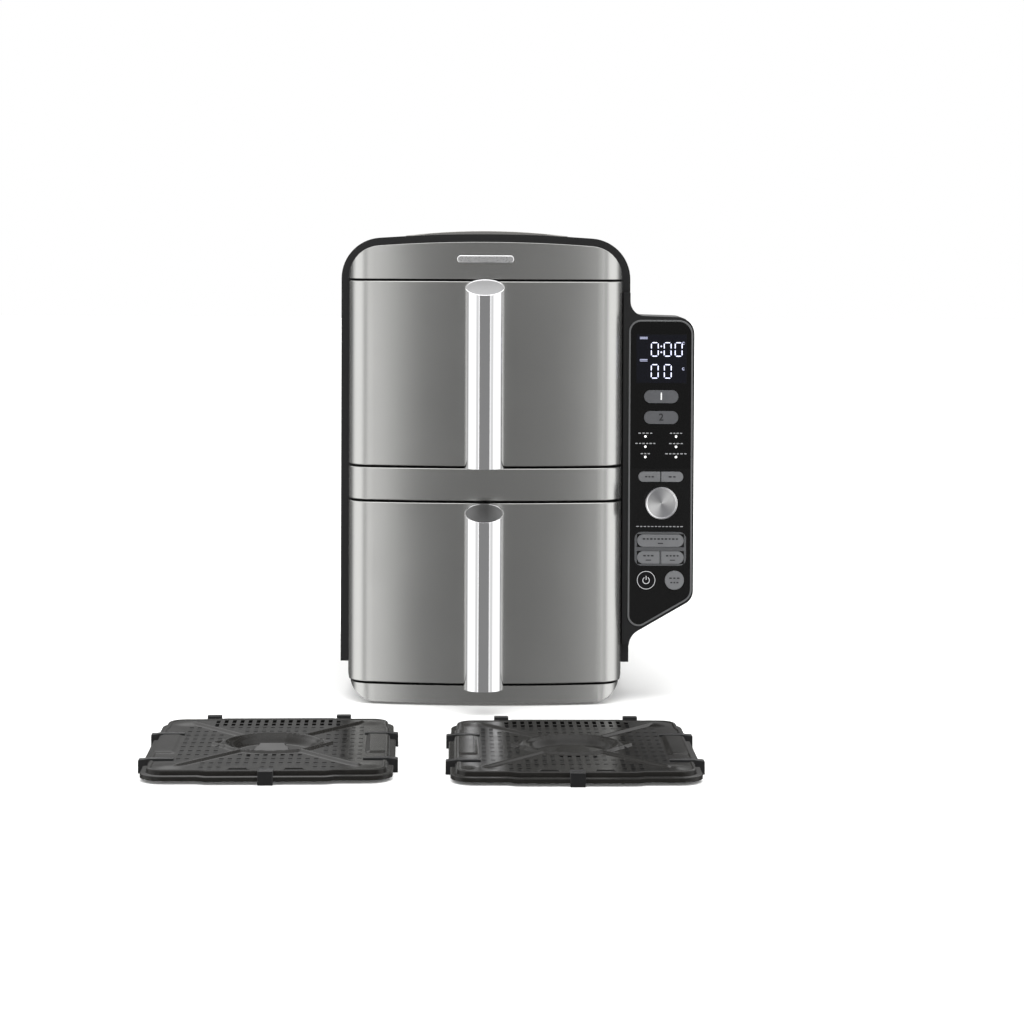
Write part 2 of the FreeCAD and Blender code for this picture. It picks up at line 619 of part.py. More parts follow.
def make_fan(axis, radius, y0, y1, blades, hub):
    """A flat fan: a thin disc with upright blades, round a hub."""
    fan = rod(0, axis, radius, y1 - SHEET, y1).fuse(rod(0, axis, hub, y0, y1))
    blade_half, pitch = 0.8, 20.0
    blade = box(-blade_half, blade_half, y0, y1 - SHEET / 2, axis + hub - 1, axis + radius)
    blade.rotate(Vector(0, 0, axis + hub), Vector(0, 1, 0), pitch)
    blade = blade.common(rod(0, axis, radius, y0, y1))
    for step in range(blades):
        fan = fan.fuse(turned_about_y(blade, axis, step * 360 / blades))
    return fan


BRACKET_FRONT = MACHINE_FRONT + BRACKET_GAP
MOTOR_FRONT = BRACKET_FRONT + SHEET


def make_bracket(axis):
    """A sheet plate that carries the motor on four stand-offs from the cavity's rear wall."""
    reach = COOLING_FAN_RADIUS + 4
    half = reach + BRACKET_EDGE
    stand_off = SHAFT_RADIUS
    plate = box(-half, half, BRACKET_FRONT, MOTOR_FRONT, axis - half, axis + half)
    plate = plate.cut(rod(0, axis, MOTOR_RADIUS / 2, BRACKET_FRONT, MOTOR_FRONT))
    for x in (-reach, reach):
        for z in (axis - reach, axis + reach):
            plate = plate.fuse(rod(x, z, stand_off, MACHINE_FRONT, BRACKET_FRONT))
    return plate


def make_machine():
    motors = []
    brackets = []
    shaft_end = MOTOR_FRONT + MOTOR_LENGTH / 2
    fan_back = CAVITY_BACK - FAN_BACK
    fan_front = fan_back - FAN_DEPTH
    cooler_front = MACHINE_FRONT + COOLING_FAN_GAP
    for level, axis in AXES.items():
        fan = make_fan(axis, FAN_RADIUS, fan_front, fan_back, blades=10, hub=9.0)
        fan = fan.fuse(rod(0, axis, SHAFT_RADIUS, fan_front, shaft_end))
        add(level + "_fan", fan.removeSplitter())
        cooler = make_fan(axis, COOLING_FAN_RADIUS, cooler_front, cooler_front + FAN_DEPTH,
                          blades=8, hub=8.0)
        add(level + "_cooling_fan", cooler.cut(rod(0, axis, SHAFT_RADIUS, CAVITY_BACK, MOTOR_FRONT)))
        motor = rod(0, axis, MOTOR_RADIUS, MOTOR_FRONT, MOTOR_FRONT + MOTOR_LENGTH)
        bore = rod(0, axis, SHAFT_RADIUS + SHAFT_CLEARANCE, MOTOR_FRONT, shaft_end + 1)
        motors.append(motor.cut(bore))
        brackets.append(make_bracket(axis))
    add("motors", *motors)
    add("motor_brackets", *brackets)


BOARD_LOW = FLOOR_GAP + 10
POWER_HALF = 78.0          # power board's half width
POWER_FRONT = MACHINE_FRONT + 14
POWER_BACK = COVER_BACK - 18
POWER_POST_SIDE = 8.0      # its posts inside its edges
POWER_POST_END = 6.0


def board_posts():
    across = POWER_HALF - POWER_POST_SIDE
    front, back = POWER_FRONT + POWER_POST_END, POWER_BACK - POWER_POST_END
    return [(x, y) for x in (-across, across) for y in (front, back)]


def make_power_board():
    top = BOARD_LOW + BOARD_THICK
    board = box(-POWER_HALF, POWER_HALF, POWER_FRONT, POWER_BACK, BOARD_LOW, top)
    transformer = box(-65, -35, POWER_FRONT + 15, POWER_FRONT + 45, top, top + 20)
    relay = box(-20, 5, POWER_FRONT + 18, POWER_FRONT + 38, top, top + 16)
    terminals = box(20, 60, POWER_FRONT + 12, POWER_FRONT + 22, top, top + 14)
    capacitors = [post(x, POWER_BACK - 28, 8, top, top + 22) for x in (30, 52)]
    for part in [transformer, relay, terminals] + capacitors:
        board = board.fuse(part)
    add("power_board", board.removeSplitter())


def make_door_switches():
    switches = []
    for level in LEVELS:
        z = switch_height(level)
        for side in (-1, 1):
            inner = side * (CAVITY_HALF + SHEET + SIDE_CLEAR)
            outer = side * (BODY_HALF - WALL - 0.5)
            body = box(*span(inner, outer), FRAME_BACK, FRAME_BACK + 2 * SWITCH_TALL,
                       z - SWITCH_TALL, z + SWITCH_TALL)
            pin = rod(side * SWITCH_X, z, SWITCH_PIN, FRONT_DEPTH + SWITCH_AIR, FRAME_BACK)
            switches.append(body.fuse(pin))
    add("door_switches", *switches)


# ---------------------------------------------------------------- drawers

def make_drawer(level):
    low = LEVELS[level] + SEAM / 2
    high = SEAM_TOPS[level] - SEAM / 2
    handle_low = LEVELS[level] + HANDLE_LIFT
    handle_high = SEAM_TOPS[level] + HANDLE_RISE
    slope = math.tan(math.radians(HANDLE_SLANT))
    handle_front = handle_high - 2 * HANDLE_RADIUS * slope
    post_heights = (handle_low + POST_FOOT + POST_RADIUS, handle_front - POST_HEAD - POST_RADIUS)

    shell = front_shell(low, high, FRONT_DEPTH)
    posts = []
    for z in post_heights:
        stem = rod(0, z, POST_RADIUS, -HANDLE_REACH, FRONT_DEPTH - BACKING)
        shell = shell.cut(rod(0, z, POST_RADIUS + POST_CLEARANCE, 0, FRONT_DEPTH - BACKING))
        posts.append(stem.cut(post(0, -HANDLE_REACH, HANDLE_RADIUS, handle_low, handle_high)))
    add(level + "_drawer_front", shell)
    add(level + "_handle_posts", *posts)

    pan_low = LEVELS[level] + CAVITY_LIFT + RUNNER_HEIGHT + RUNNER_GAP
    pan_high = LEVELS[level] + CAVITY_LIFT + CAVITY_HEIGHT - PAN_HEADROOM
    inside = bowed_column(FRONT_WALL, low + FRONT_WALL, high - FRONT_WALL, FRONT_DEPTH)
    backing = inside.common(fascia_prism(FRONT_WALL))
    backing = backing.common(box(-BODY_HALF, BODY_HALF, FRONT_DEPTH - BACKING, FRONT_DEPTH, low, high))
    plug_half = CAVITY_HALF - PAN_GAP - PAN_RIM - 4
    plug = box(-plug_half, plug_half, FRONT_DEPTH, PAN_FRONT, pan_low + 6, pan_high - PAN_RIM)
    add(level + "_front_backing", backing.fuse(plug).removeSplitter())

    outer = pan_block(pan_low, pan_high, 0)
    inner = pan_block(pan_low + PAN_WALL, pan_high, PAN_WALL)
    rim_half = CAVITY_HALF - PAN_GAP
    rim = rounded_box_z(-rim_half, rim_half, PAN_FRONT - PAN_RIM, PAN_BACK + PAN_RIM,
                        pan_high - PAN_WALL, pan_high, PAN_CORNER + PAN_RIM)
    add(level + "_pan", outer.fuse(rim).cut(inner).removeSplitter())

    handle = sloped_bar(handle_low, handle_high, HANDLE_RADIUS, slope)
    lid = HANDLE_WALL / math.cos(math.radians(HANDLE_SLANT))
    hollow_top = handle_high - HANDLE_WALL * slope - lid
    hollow = sloped_bar(handle_low + HANDLE_WALL, hollow_top, HANDLE_RADIUS - HANDLE_WALL, slope)
    drain = post(0, -HANDLE_REACH, HANDLE_DRAIN, handle_low, handle_low + HANDLE_WALL)
    add(level + "_handle", handle.cut(hollow).cut(drain))


def sloped_bar(low, high, radius, slope):
    """An upright bar on the handle's axis. Its top slopes down to the front."""
    bar = post(0, -HANDLE_REACH, radius, low, high)
    back, front = -HANDLE_REACH + radius, -HANDLE_REACH - radius
    side = radius + 1
    above = high + 10
    corners = [Vector(-side, back + 1, high + slope),
               Vector(-side, front - 1, high - (2 * radius + 1) * slope),
               Vector(-side, front - 1, above),
               Vector(-side, back + 1, above)]
    wedge = Part.Face(Part.makePolygon(corners + corners[:1])).extrude(Vector(2 * side, 0, 0))
    return bar.cut(wedge)


def pan_block(low, high, inset):
    """A pan's solid, wider at the top. Its front wall is upright."""
    front = PAN_FRONT + inset
    corner = PAN_CORNER - inset
    wires = []
    for z, draft in ((low, PAN_DRAFT), (high, 0)):
        half = CAVITY_HALF - PAN_GAP - PAN_RIM - inset - draft
        back = PAN_BACK - inset - draft
        corners = [(-half, -front, corner), (half, -front, corner),
                   (half, -back, corner), (-half, -back, corner)]
        wires.append(rounded_face(corners, plan(z)).OuterWire)
    return Part.makeLoft(wires, True, True)


# ---------------------------------------------------------------- control wing

WING_RISE = math.tan(math.radians(WING_SLOPE))
WING_TAIL = 7.0            # lapping strip below the wing's foot
WING_HEAD = 20.0           # lapping strip above the wing's top
PANEL_TOP = 2.0            # trim below the wing's top
PANEL_FOOT = 2.0           # trim above the wing's sloping edge


def wing_corners():
    """The wing's outline, seen from the front, with its coved joints to the housing's side."""
    left = BODY_HALF - WING_LAP
    return [(left, WING_FOOT - WING_TAIL, 0),
            (BODY_HALF, WING_FOOT - WING_TAIL, 0),
            (BODY_HALF, WING_FOOT, WING_CORNER),
            (WING_EDGE, WING_FOOT + WING_WIDTH * WING_RISE, WING_COVE),
            (WING_EDGE, WING_TOP, WING_CORNER),
            (BODY_HALF, WING_TOP + 1.5, WING_COVE),
            (BODY_HALF, WING_TOP + WING_HEAD, 0),
            (left, WING_TOP + WING_HEAD, 0)]


def panel_corners(inset):
    """The outline of the trim and the panel in it."""
    left = BODY_HALF - PANEL_MARGIN + inset
    right = WING_EDGE - PANEL_MARGIN - inset
    foot = WING_FOOT + (PANEL_FOOT + inset) / math.cos(math.radians(WING_SLOPE))
    top = WING_TOP - PANEL_TOP - inset
    return [(left, foot + (left - BODY_HALF) * WING_RISE, 9 - inset),
            (right, foot + (right - BODY_HALF) * WING_RISE, 11 - inset),
            (right, top, 12 - inset),
            (left, top, 10 - inset)]


# each button: centre across, height, half width, half height, radii of its left and right ends
BUTTONS = {
    "zone_1_button": (0.0, 250.2, 14.0, 5.3, 5.2, 5.2),
    "zone_2_button": (0.0, 233.1, 14.0, 5.3, 5.2, 5.2),
    "temperature_button": (-9.35, 184.5, 9.0, 4.2, 4.1, 0.5),
    "time_button": (9.35, 184.5, 9.0, 4.2, 0.5, 4.1),
    "pair_button": (0.0, 132.0, 19.0, 5.1, 5.0, 5.0),
    "sync_button": (-9.85, 118.2, 9.2, 5.1, 5.0, 0.5),
    "match_button": (9.85, 118.2, 9.2, 5.1, 0.5, 5.0),
    "power_button": (-11.6, 99.5, 7.8, 7.8, 7.7, 7.7),
    "start_button": (11.6, 99.5, 7.8, 7.8, 7.7, 7.7),
}
KNOB_Z = 163.8
DISPLAY_HALF = 20.6
DISPLAY_LOW = 261.3
DISPLAY_HIGH = 301.1
DISPLAY_PANE = 1.2
DISPLAY_LEDGE = 2.0        # ledge under the pane's edges
KEY_SWITCH_HALF = 3.0      # switches on the control board
KEY_SWITCH_TALL = 1.7
BOARD_HALF = 20.0


def button_prism(name, grow, y0, y1):
    across, z, half_x, half_z, left_radius, right_radius = BUTTONS[name]
    left = PANEL_CENTRE + across - half_x - grow
    right = PANEL_CENTRE + across + half_x + grow
    low, high = z - half_z - grow, z + half_z + grow
    corners = [(left, low, left_radius + grow), (right, low, right_radius + grow),
               (right, high, right_radius + grow), (left, high, left_radius + grow)]
    return prism_y(rounded_face(corners, elevation(y0)), y1 - y0)


def panel_prism(inset, y0, y1):
    return prism_y(rounded_face(panel_corners(inset), elevation(y0)), y1 - y0)


def make_wing():
    outline = rounded_face(wing_corners(), elevation(WING_FRONT))
    lap = prism_y(outline, FRAME_FRONT - WING_FRONT)
    pod = prism_y(outline, WING_BACK - WING_FRONT)
    pod = pod.common(box(BODY_HALF, WING_EDGE, FRAME_FRONT, WING_BACK, 0, RIM_TOP))
    hollow = panel_prism(TRIM_WIDTH + 1, PANEL_BACK, WING_BACK - WALL)
    hollow = hollow.common(box(BODY_HALF + WALL, WING_EDGE, PANEL_BACK, WING_BACK, 0, RIM_TOP))
    shell = lap.fuse(pod).cut(hollow)
    shell = shell.cut(panel_prism(0, WING_FRONT - 1, PANEL_BACK))
    add("wing_shell", shell.cut(wire_way()).removeSplitter())
    trim = panel_prism(0, PANEL_FRONT - TRIM_PROUD, PANEL_BACK)
    add("panel_trim", trim.cut(panel_prism(TRIM_WIDTH, PANEL_FRONT - 1, PANEL_BACK)))


def display_box(inset, y0, y1):
    return box(PANEL_CENTRE - DISPLAY_HALF + inset, PANEL_CENTRE + DISPLAY_HALF - inset, y0, y1,
               DISPLAY_LOW + inset, DISPLAY_HIGH - inset)


def make_panel():
    face = panel_prism(TRIM_WIDTH, PANEL_FRONT, PANEL_BACK)
    for name in BUTTONS:
        face = face.cut(button_prism(name, BUTTON_GAP, PANEL_FRONT, PANEL_BACK))
    bridge = 1.2
    for name in ("temperature_button", "sync_button"):
        z, half_z = BUTTONS[name][1], BUTTONS[name][3] + BUTTON_GAP
        face = face.cut(box(PANEL_CENTRE - bridge, PANEL_CENTRE + bridge, PANEL_FRONT, PANEL_BACK,
                            z - half_z, z + half_z))
    face = face.cut(rod(PANEL_CENTRE, KNOB_Z, SHAFT_RADIUS + 1, PANEL_FRONT, PANEL_BACK))
    window = display_box(0, PANEL_FRONT, PANEL_FRONT + DISPLAY_PANE)
    face = face.cut(window)
    add("panel_face", face.cut(display_box(DISPLAY_LEDGE, PANEL_FRONT, PANEL_BACK)))
    add("display_window", window)


def make_buttons():
    stem_end = BOARD_FRONT - KEY_SWITCH_TALL - BUTTON_TRAVEL - 0.1
    lip_front = PANEL_BACK + 0.3
    lip_back = lip_front + BUTTON_LIP
    for name, (across, z, half_x, half_z, *_) in BUTTONS.items():
        x = PANEL_CENTRE + across
        cap = button_prism(name, 0, PANEL_FRONT - BUTTON_PROUD, lip_back)
        lip = box(x - half_x / 2, x + half_x / 2, lip_front, lip_back,
                  z - half_z - BUTTON_LIP, z + half_z + BUTTON_LIP)
        add(name, cap.fuse(lip).fuse(rod(x, z, BUTTON_STEM, lip_back, stem_end)))


def make_control_board():
    low = BUTTONS["power_button"][1] - 8
    board = box(PANEL_CENTRE - BOARD_HALF, PANEL_CENTRE + BOARD_HALF + 1, BOARD_FRONT, BOARD_BACK,
                low, DISPLAY_HIGH + 2)
    for across, z, *_ in BUTTONS.values():
        x = PANEL_CENTRE + across
        switch = box(x - KEY_SWITCH_HALF, x + KEY_SWITCH_HALF, BOARD_FRONT - KEY_SWITCH_TALL, BOARD_FRONT,
                     z - KEY_SWITCH_HALF, z + KEY_SWITCH_HALF)
        board = board.fuse(switch)
    board = board.fuse(display_box(DISPLAY_LEDGE + 1, PANEL_FRONT + DISPLAY_PANE + 0.3, BOARD_FRONT))
    board = board.cut(rod(PANEL_CENTRE, KNOB_Z, SHAFT_RADIUS + 0.6, PANEL_BACK, BOARD_BACK))
    stand_off, stand_off_x = 2.2, BOARD_HALF - 3
    for z in (low + 25, BUTTONS["zone_2_button"][1] - 18):
        for x in (PANEL_CENTRE - stand_off_x, PANEL_CENTRE + stand_off_x):
            board = board.fuse(rod(x, z, stand_off, BOARD_BACK, WING_BACK - WALL))
    add("control_board", board.removeSplitter())


ENCODER_HALF = 6.0
ENCODER_DEPTH = 6.5
KNOB_EDGE = 1.0            # round of the knob's front edge
KNOB_WALL = 2.0
KNOB_FACE = 2.5            # thickness of the knob's face


def make_dial():
    body = box(PANEL_CENTRE - ENCODER_HALF, PANEL_CENTRE + ENCODER_HALF,
               BOARD_FRONT - ENCODER_DEPTH, BOARD_FRONT, KNOB_Z - ENCODER_HALF, KNOB_Z + ENCODER_HALF)
    bore = rod(PANEL_CENTRE, KNOB_Z, SHAFT_RADIUS + SHAFT_CLEARANCE, PANEL_FRONT, BOARD_FRONT)
    add("encoder", body.cut(bore))
    knob_back = PANEL_FRONT - KNOB_GAP
    knob_front = knob_back - KNOB_LENGTH
    shaft_front = knob_front + 2 * KNOB_WALL
    add("encoder_shaft", rod(PANEL_CENTRE, KNOB_Z, SHAFT_RADIUS, shaft_front, BOARD_BACK + 1))
    knob = rod(PANEL_CENTRE, KNOB_Z, KNOB_RADIUS, knob_front, knob_back)
    front_edge = [edge for edge in knob.Edges if abs(edge.BoundBox.YMax - knob_front) < 1e-6]
    knob = knob.makeFillet(KNOB_EDGE, front_edge)
    knob = knob.cut(rod(PANEL_CENTRE, KNOB_Z, KNOB_RADIUS - KNOB_WALL, knob_front + KNOB_FACE, knob_back))
    socket = rod(PANEL_CENTRE, KNOB_Z, SHAFT_RADIUS + KNOB_WALL, knob_front + KNOB_FACE / 2, knob_back)
    knob = knob.fuse(socket).cut(rod(PANEL_CENTRE, KNOB_Z, SHAFT_RADIUS, shaft_front, knob_back))
    add("knob", knob.removeSplitter())


# ---------------------------------------------------------------- crisper plates

PLATE_MID = 42.0           # half width of the stretch that stands out at front and back
PLATE_MID_OUT = 3.0
PLATE_MID_RUN = 6.0        # width of the slant at each end of that stretch
PLATE_WAIST = -1.5         # how far the sides stand in between the lobes
PLATE_WAIST_END = 66.0     # where the lobes begin to turn in, from the middle
PLATE_WAIST_RUN = 8.0
LOBE_RADIUS = 17.0
RIB_HEIGHT = 1.3
BOWL_DEPTH = 6.5
BOWL_SLOPE = 9.0           # width of the bowl's sloping side
BOWL_RING = 3.0
HOLE_ROWS_BESIDE = 5       # rows from the middle that a field beside the bowl has
SILICONE = 1.4             # bumpers' height over the plate
BACK_CLIP_PLACE = 49.5
BACK_CLIP_HALF = 5.5
BACK_CLIP_RISE = 2.4
BACK_CLIP_LENGTH = 7.0
FRONT_CLIP_HALF = 5.3
FRONT_CLIP_LENGTH = 12.0
END_CLIP_REACH = 2.0       # front and back bumpers beyond the plate's ends


def plate_corners(inset):
    """A plate's outline, seen from above: four lobes, and a middle that stands out at front and back."""
    wide, deep = PLATE_HALF_WIDTH - inset, PLATE_HALF_DEPTH - inset
    waist, shoulder = wide - PLATE_WAIST, deep - PLATE_MID_OUT
    quarter = [(PLATE_MID, deep, 2), (PLATE_MID + PLATE_MID_RUN, shoulder, 2),
               (wide, shoulder, LOBE_RADIUS - inset / 2),
               (wide, PLATE_WAIST_END, 6), (waist, PLATE_WAIST_END - PLATE_WAIST_RUN, 6)]
    right = quarter + [(u, -v, r) for u, v, r in reversed(quarter)]
    return right + [(-u, v, r) for u, v, r in reversed(right)]


def plate_prism(corners, z0, z1):
    """A plan outline, with its second axis to the back, raised from z0 to z1."""
    return prism_z(rounded_face(corners, lambda u, v: Vector(u, v, z0)), z1 - z0)


LOBE_U = PLATE_HALF_WIDTH - LOBE_RADIUS
LOBE_V = PLATE_HALF_DEPTH - LOBE_RADIUS + PLATE_MID_OUT
RIB_LEAN = math.atan2(LOBE_V, LOBE_U)      # the diagonal ribs point at the corner lobes
RIB_START = BOWL_RADIUS + 2.0
RIB_END = 0.82 * math.hypot(LOBE_U, LOBE_V)


def plate_hole_places():
    """The perforations: a field at each side, and one in front of and one behind the bowl."""
    places = []
    for column in range(11):
        for row in range(7):
            u, v = (column + 0.5) * HOLE_PITCH_X, row * HOLE_PITCH_Y
            off_rib = u * math.sin(RIB_LEAN) - v * math.cos(RIB_LEAN)
            clear_of_bowl = math.hypot(u, v) > BOWL_RADIUS + 8
            beside = off_rib > 7.0 and row < HOLE_ROWS_BESIDE and BOWL_RADIUS + 5 < u < PLATE_HALF_WIDTH - 21
            before = off_rib < -7.0 and v < PLATE_HALF_DEPTH - 12 and u < PLATE_MID + 4
            if clear_of_bowl and (beside or before):
                places += [(a * u, b * v) for a in (-1, 1) for b in ((-1, 1) if row else (1,))]
    return places


def plate_rib(start, end, half_width):
    """A raised rib on the plate from one point to another, each (u, v)."""
    length = math.hypot(end[0] - start[0], end[1] - start[1])
    lean = math.degrees(math.atan2(end[1] - start[1], end[0] - start[0]))
    rib = box(0, length, -half_width, half_width, PLATE_TOP - PLATE_SHEET / 2, PLATE_TOP + RIB_HEIGHT)
    rib.rotate(Vector(0, 0, 0), Vector(0, 0, 1), lean)
    rib.translate(Vector(start[0], start[1], 0))
    return rib


def plate_skirt():
    """The perforated sheet with its stepped skirt."""
    outside = plate_prism(plate_corners(0), PLATE_EDGE_LOW, PLATE_STEP)
    outside = outside.fuse(plate_prism(plate_corners(LEDGE), PLATE_STEP, PLATE_TOP))
    ledge_under, field_under = PLATE_STEP - PLATE_SHEET, PLATE_TOP - PLATE_SHEET
    inside = plate_prism(plate_corners(PLATE_SHEET), PLATE_EDGE_LOW, ledge_under)
    inside = inside.fuse(plate_prism(plate_corners(LEDGE + PLATE_SHEET), ledge_under, field_under))
    holes = [box(u - HOLE_WIDTH / 2, u + HOLE_WIDTH / 2, v - HOLE_LENGTH / 2, v + HOLE_LENGTH / 2,
                 field_under - PLATE_SHEET, PLATE_TOP + PLATE_SHEET) for u, v in plate_hole_places()]
    return outside.cut(inside).cut(Part.makeCompound(holes))


def plate_bowl():
    """The round bowl in the middle, with its raised ring."""
    low, under, ring_top = PLATE_TOP - BOWL_DEPTH, PLATE_TOP - PLATE_SHEET, PLATE_TOP + RIB_HEIGHT
    ring = BOWL_RADIUS + BOWL_RING
    profile = [(BOWL_RADIUS - BOWL_SLOPE, low), (BOWL_RADIUS, under), (ring, under),
               (ring, ring_top), (BOWL_RADIUS, ring_top), (BOWL_RADIUS - BOWL_SLOPE + 1, low + PLATE_SHEET),
               (0, low + PLATE_SHEET), (0, low)]
    wire = Part.makePolygon([Vector(r, 0, z) for r, z in profile + profile[:1]])
    return Part.Face(wire).revolve(Vector(0, 0, 0), Vector(0, 0, 1), 360)


def pressed_plate():
    plate = plate_skirt()
    run, rise = math.cos(RIB_LEAN), math.sin(RIB_LEAN)
    rib_half, chevron_half, chevron_foot, chevron_reach = 3.0, 1.2, 11.0, 9.0
    for a in (-1, 1):
        for b in (-1, 1):
            plate = plate.fuse(plate_rib((a * RIB_START * run, b * RIB_START * rise),
                                         (a * RIB_END * run, b * RIB_END * rise), rib_half))
            plate = plate.fuse(plate_rib((a * (BOWL_RADIUS + 0.5), b * chevron_foot),
                                         (a * (BOWL_RADIUS + chevron_reach), 0), chevron_half))
    plate = plate.cut(post(0, 0, BOWL_RADIUS, PLATE_TOP - 2 * PLATE_SHEET, PLATE_TOP + 2 * PLATE_SHEET))
    tongue_foot, tongue_tip, foot_v = 17.0, 9.0, -BOWL_RADIUS + 0.5
    tongue = [(-tongue_foot, foot_v, 0), (tongue_foot, foot_v, 0),
              (tongue_tip, -2, 2), (-tongue_tip, -2, 2)]
    return plate.fuse(plate_bowl()).fuse(plate_prism(tongue, PLATE_TOP, PLATE_TOP + PLATE_SHEET))


def side_clips(side):
    """The silicone bumpers at one side: a bar on the plate with a foot that turns down over its edge."""
    bars = []
    tip = PLATE_HALF_WIDTH + CLIP_REACH
    top = PLATE_TOP + SILICONE
    for v in CLIP_PLACES:
        low, high = v - CLIP_HALF, v + CLIP_HALF
        bar = box(tip - CLIP_LENGTH, tip, low, high, PLATE_TOP - PLATE_SHEET, top)
        bar = bar.fuse(box(tip - CLIP_HALF - CLIP_REACH, tip, low, high, 0, top))
        bars.append(bar if side > 0 else bar.mirror(Vector(0, 0, 0), Vector(1, 0, 0)))
    return bars


def end_clips():
    """The bumper at the front, and the two that stand up at the back."""
    edge = PLATE_HALF_DEPTH + END_CLIP_REACH
    clips = [box(-FRONT_CLIP_HALF, FRONT_CLIP_HALF, -edge, -edge + FRONT_CLIP_LENGTH,
                 0, PLATE_TOP + SILICONE)]
    for u in (-BACK_CLIP_PLACE, BACK_CLIP_PLACE):
        clips.append(box(u - BACK_CLIP_HALF, u + BACK_CLIP_HALF, edge - BACK_CLIP_LENGTH, edge,
                         0, PLATE_TOP + BACK_CLIP_RISE))
    return clips


def make_plate(name, x, y, yaw):
    plate = pressed_plate()
    bumpers = side_clips(1) + side_clips(-1) + end_clips()
    for bumper in bumpers:
        plate = plate.cut(bumper)
    for shape in [plate] + bumpers:
        shape.rotate(Vector(0, 0, 0), Vector(0, 0, 1), yaw)
        shape.translate(Vector(x, y, 0))
    add(name + "_crisper_plate", plate)
    add(name + "_plate_bumpers", *bumpers)


# ---------------------------------------------------------------- assembly

def make_all():
    make_front_frame()
    make_fascias()
    make_side_covers()
    make_top()
    make_rear_cover()
    make_base()
    make_cavities()
    make_heaters()
    make_fan_grilles()
    make_machine()
    make_power_board()
    make_door_switches()
    for level in LEVELS:
        make_drawer(level)
    make_wing()
    make_panel()
    make_buttons()
    make_control_board()
    make_dial()
    for name, (x, y, yaw) in PLATES.items():
        make_plate(name, x, y, yaw)


def write_all():
    """Writes each node, with the origin moved to the middle of the whole set's footprint."""
    everything = Part.makeCompound([solid for solids in nodes.values() for solid in solids])
    bounds = everything.BoundBox
    shift = Vector(-bounds.Center.x, -bounds.Center.y, 0)
    os.makedirs("parts", exist_ok=True)
    for name, solids in nodes.items():
        shape = Part.makeCompound(solids) if len(solids) > 1 else solids[0]
        shape.translate(shift)
        shape.exportStep("parts/" + name + ".step")
    print("origin at", -shift.x, -shift.y, "size", bounds.XLength, bounds.YLength, bounds.ZMax)


make_all()
write_all()
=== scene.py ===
import json
import math
from contextlib import contextmanager

import bmesh
import bpy
from mathutils import Matrix, Vector

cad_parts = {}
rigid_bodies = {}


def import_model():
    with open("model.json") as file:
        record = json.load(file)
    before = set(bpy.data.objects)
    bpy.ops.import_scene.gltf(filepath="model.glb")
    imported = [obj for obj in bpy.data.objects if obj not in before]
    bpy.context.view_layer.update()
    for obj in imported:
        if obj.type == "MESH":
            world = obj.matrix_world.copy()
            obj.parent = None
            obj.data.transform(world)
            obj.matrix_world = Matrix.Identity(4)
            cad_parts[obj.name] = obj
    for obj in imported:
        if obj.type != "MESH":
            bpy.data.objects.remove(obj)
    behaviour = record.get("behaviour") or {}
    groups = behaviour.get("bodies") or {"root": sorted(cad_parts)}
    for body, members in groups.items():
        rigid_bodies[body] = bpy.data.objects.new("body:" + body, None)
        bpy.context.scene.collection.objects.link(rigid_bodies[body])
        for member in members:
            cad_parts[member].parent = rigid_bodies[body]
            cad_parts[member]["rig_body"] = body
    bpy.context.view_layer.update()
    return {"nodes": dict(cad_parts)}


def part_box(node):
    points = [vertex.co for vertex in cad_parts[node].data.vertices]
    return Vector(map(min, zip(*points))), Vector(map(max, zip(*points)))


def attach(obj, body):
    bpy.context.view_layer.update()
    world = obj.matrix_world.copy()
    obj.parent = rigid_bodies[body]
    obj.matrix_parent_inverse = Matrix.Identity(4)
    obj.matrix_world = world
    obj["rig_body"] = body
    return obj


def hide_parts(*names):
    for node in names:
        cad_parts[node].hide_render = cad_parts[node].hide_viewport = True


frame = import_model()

bl_info = {
    "name": "Two-drawer air fryer",
    "version": (1, 0, 0),
    "blender": (4, 5, 0),
    "location": "3D View > Sidebar > Air Fryer",
    "description": "Models and finishes the visible pieces of a stacked two-drawer air fryer round its CAD frame",
    "category": "Object",
}

MM = 0.001
LEVELS = ("lower", "upper")
PLATES = {"left": 2.4, "right": 1.2}     # how far each crisper plate is turned, in degrees


# ---- settings

def length(name, description, millimetres):
    return bpy.props.FloatProperty(name=name, description=description, default=millimetres * MM,
                                   unit="LENGTH", subtype="DISTANCE")


def angle(name, description, degrees):
    return bpy.props.FloatProperty(name=name, description=description, default=math.radians(degrees), subtype="ANGLE")


def number(name, description, default):
    return bpy.props.FloatProperty(name=name, description=description, default=default)


def colour(name, description, default):
    return bpy.props.StringProperty(name=name, description=description, default=default)


class HousingSettings(bpy.types.PropertyGroup):
    bow: length("Front bow", "Radius of the bowed fronts, seen from above", 465)
    corner: length("Front corner", "Radius where the fronts turn back into their sides", 22)
    crown: length("Crown", "Radius of the top edge, seen from the front", 1210)
    top_corner: length("Top corner", "Radius of the fascia's top corners", 27)
    plinth_corner: length("Plinth corner", "Radius of the plinth's bottom corners", 24)
    front_edge: length("Front edge", "Round along the edges of the fronts", 1.1)
    top_edge: length("Top edge", "Round along the top fascia's upper edge", 2.6)
    case_edge: length("Case edge", "Round along the black covers' edges", 0.9)
    handle_rim: length("Handle rim", "Width of the rim round a handle's sloping end", 1.1)
    slant: angle("Handle slant", "How far a handle's end slopes to the front", 21.6)


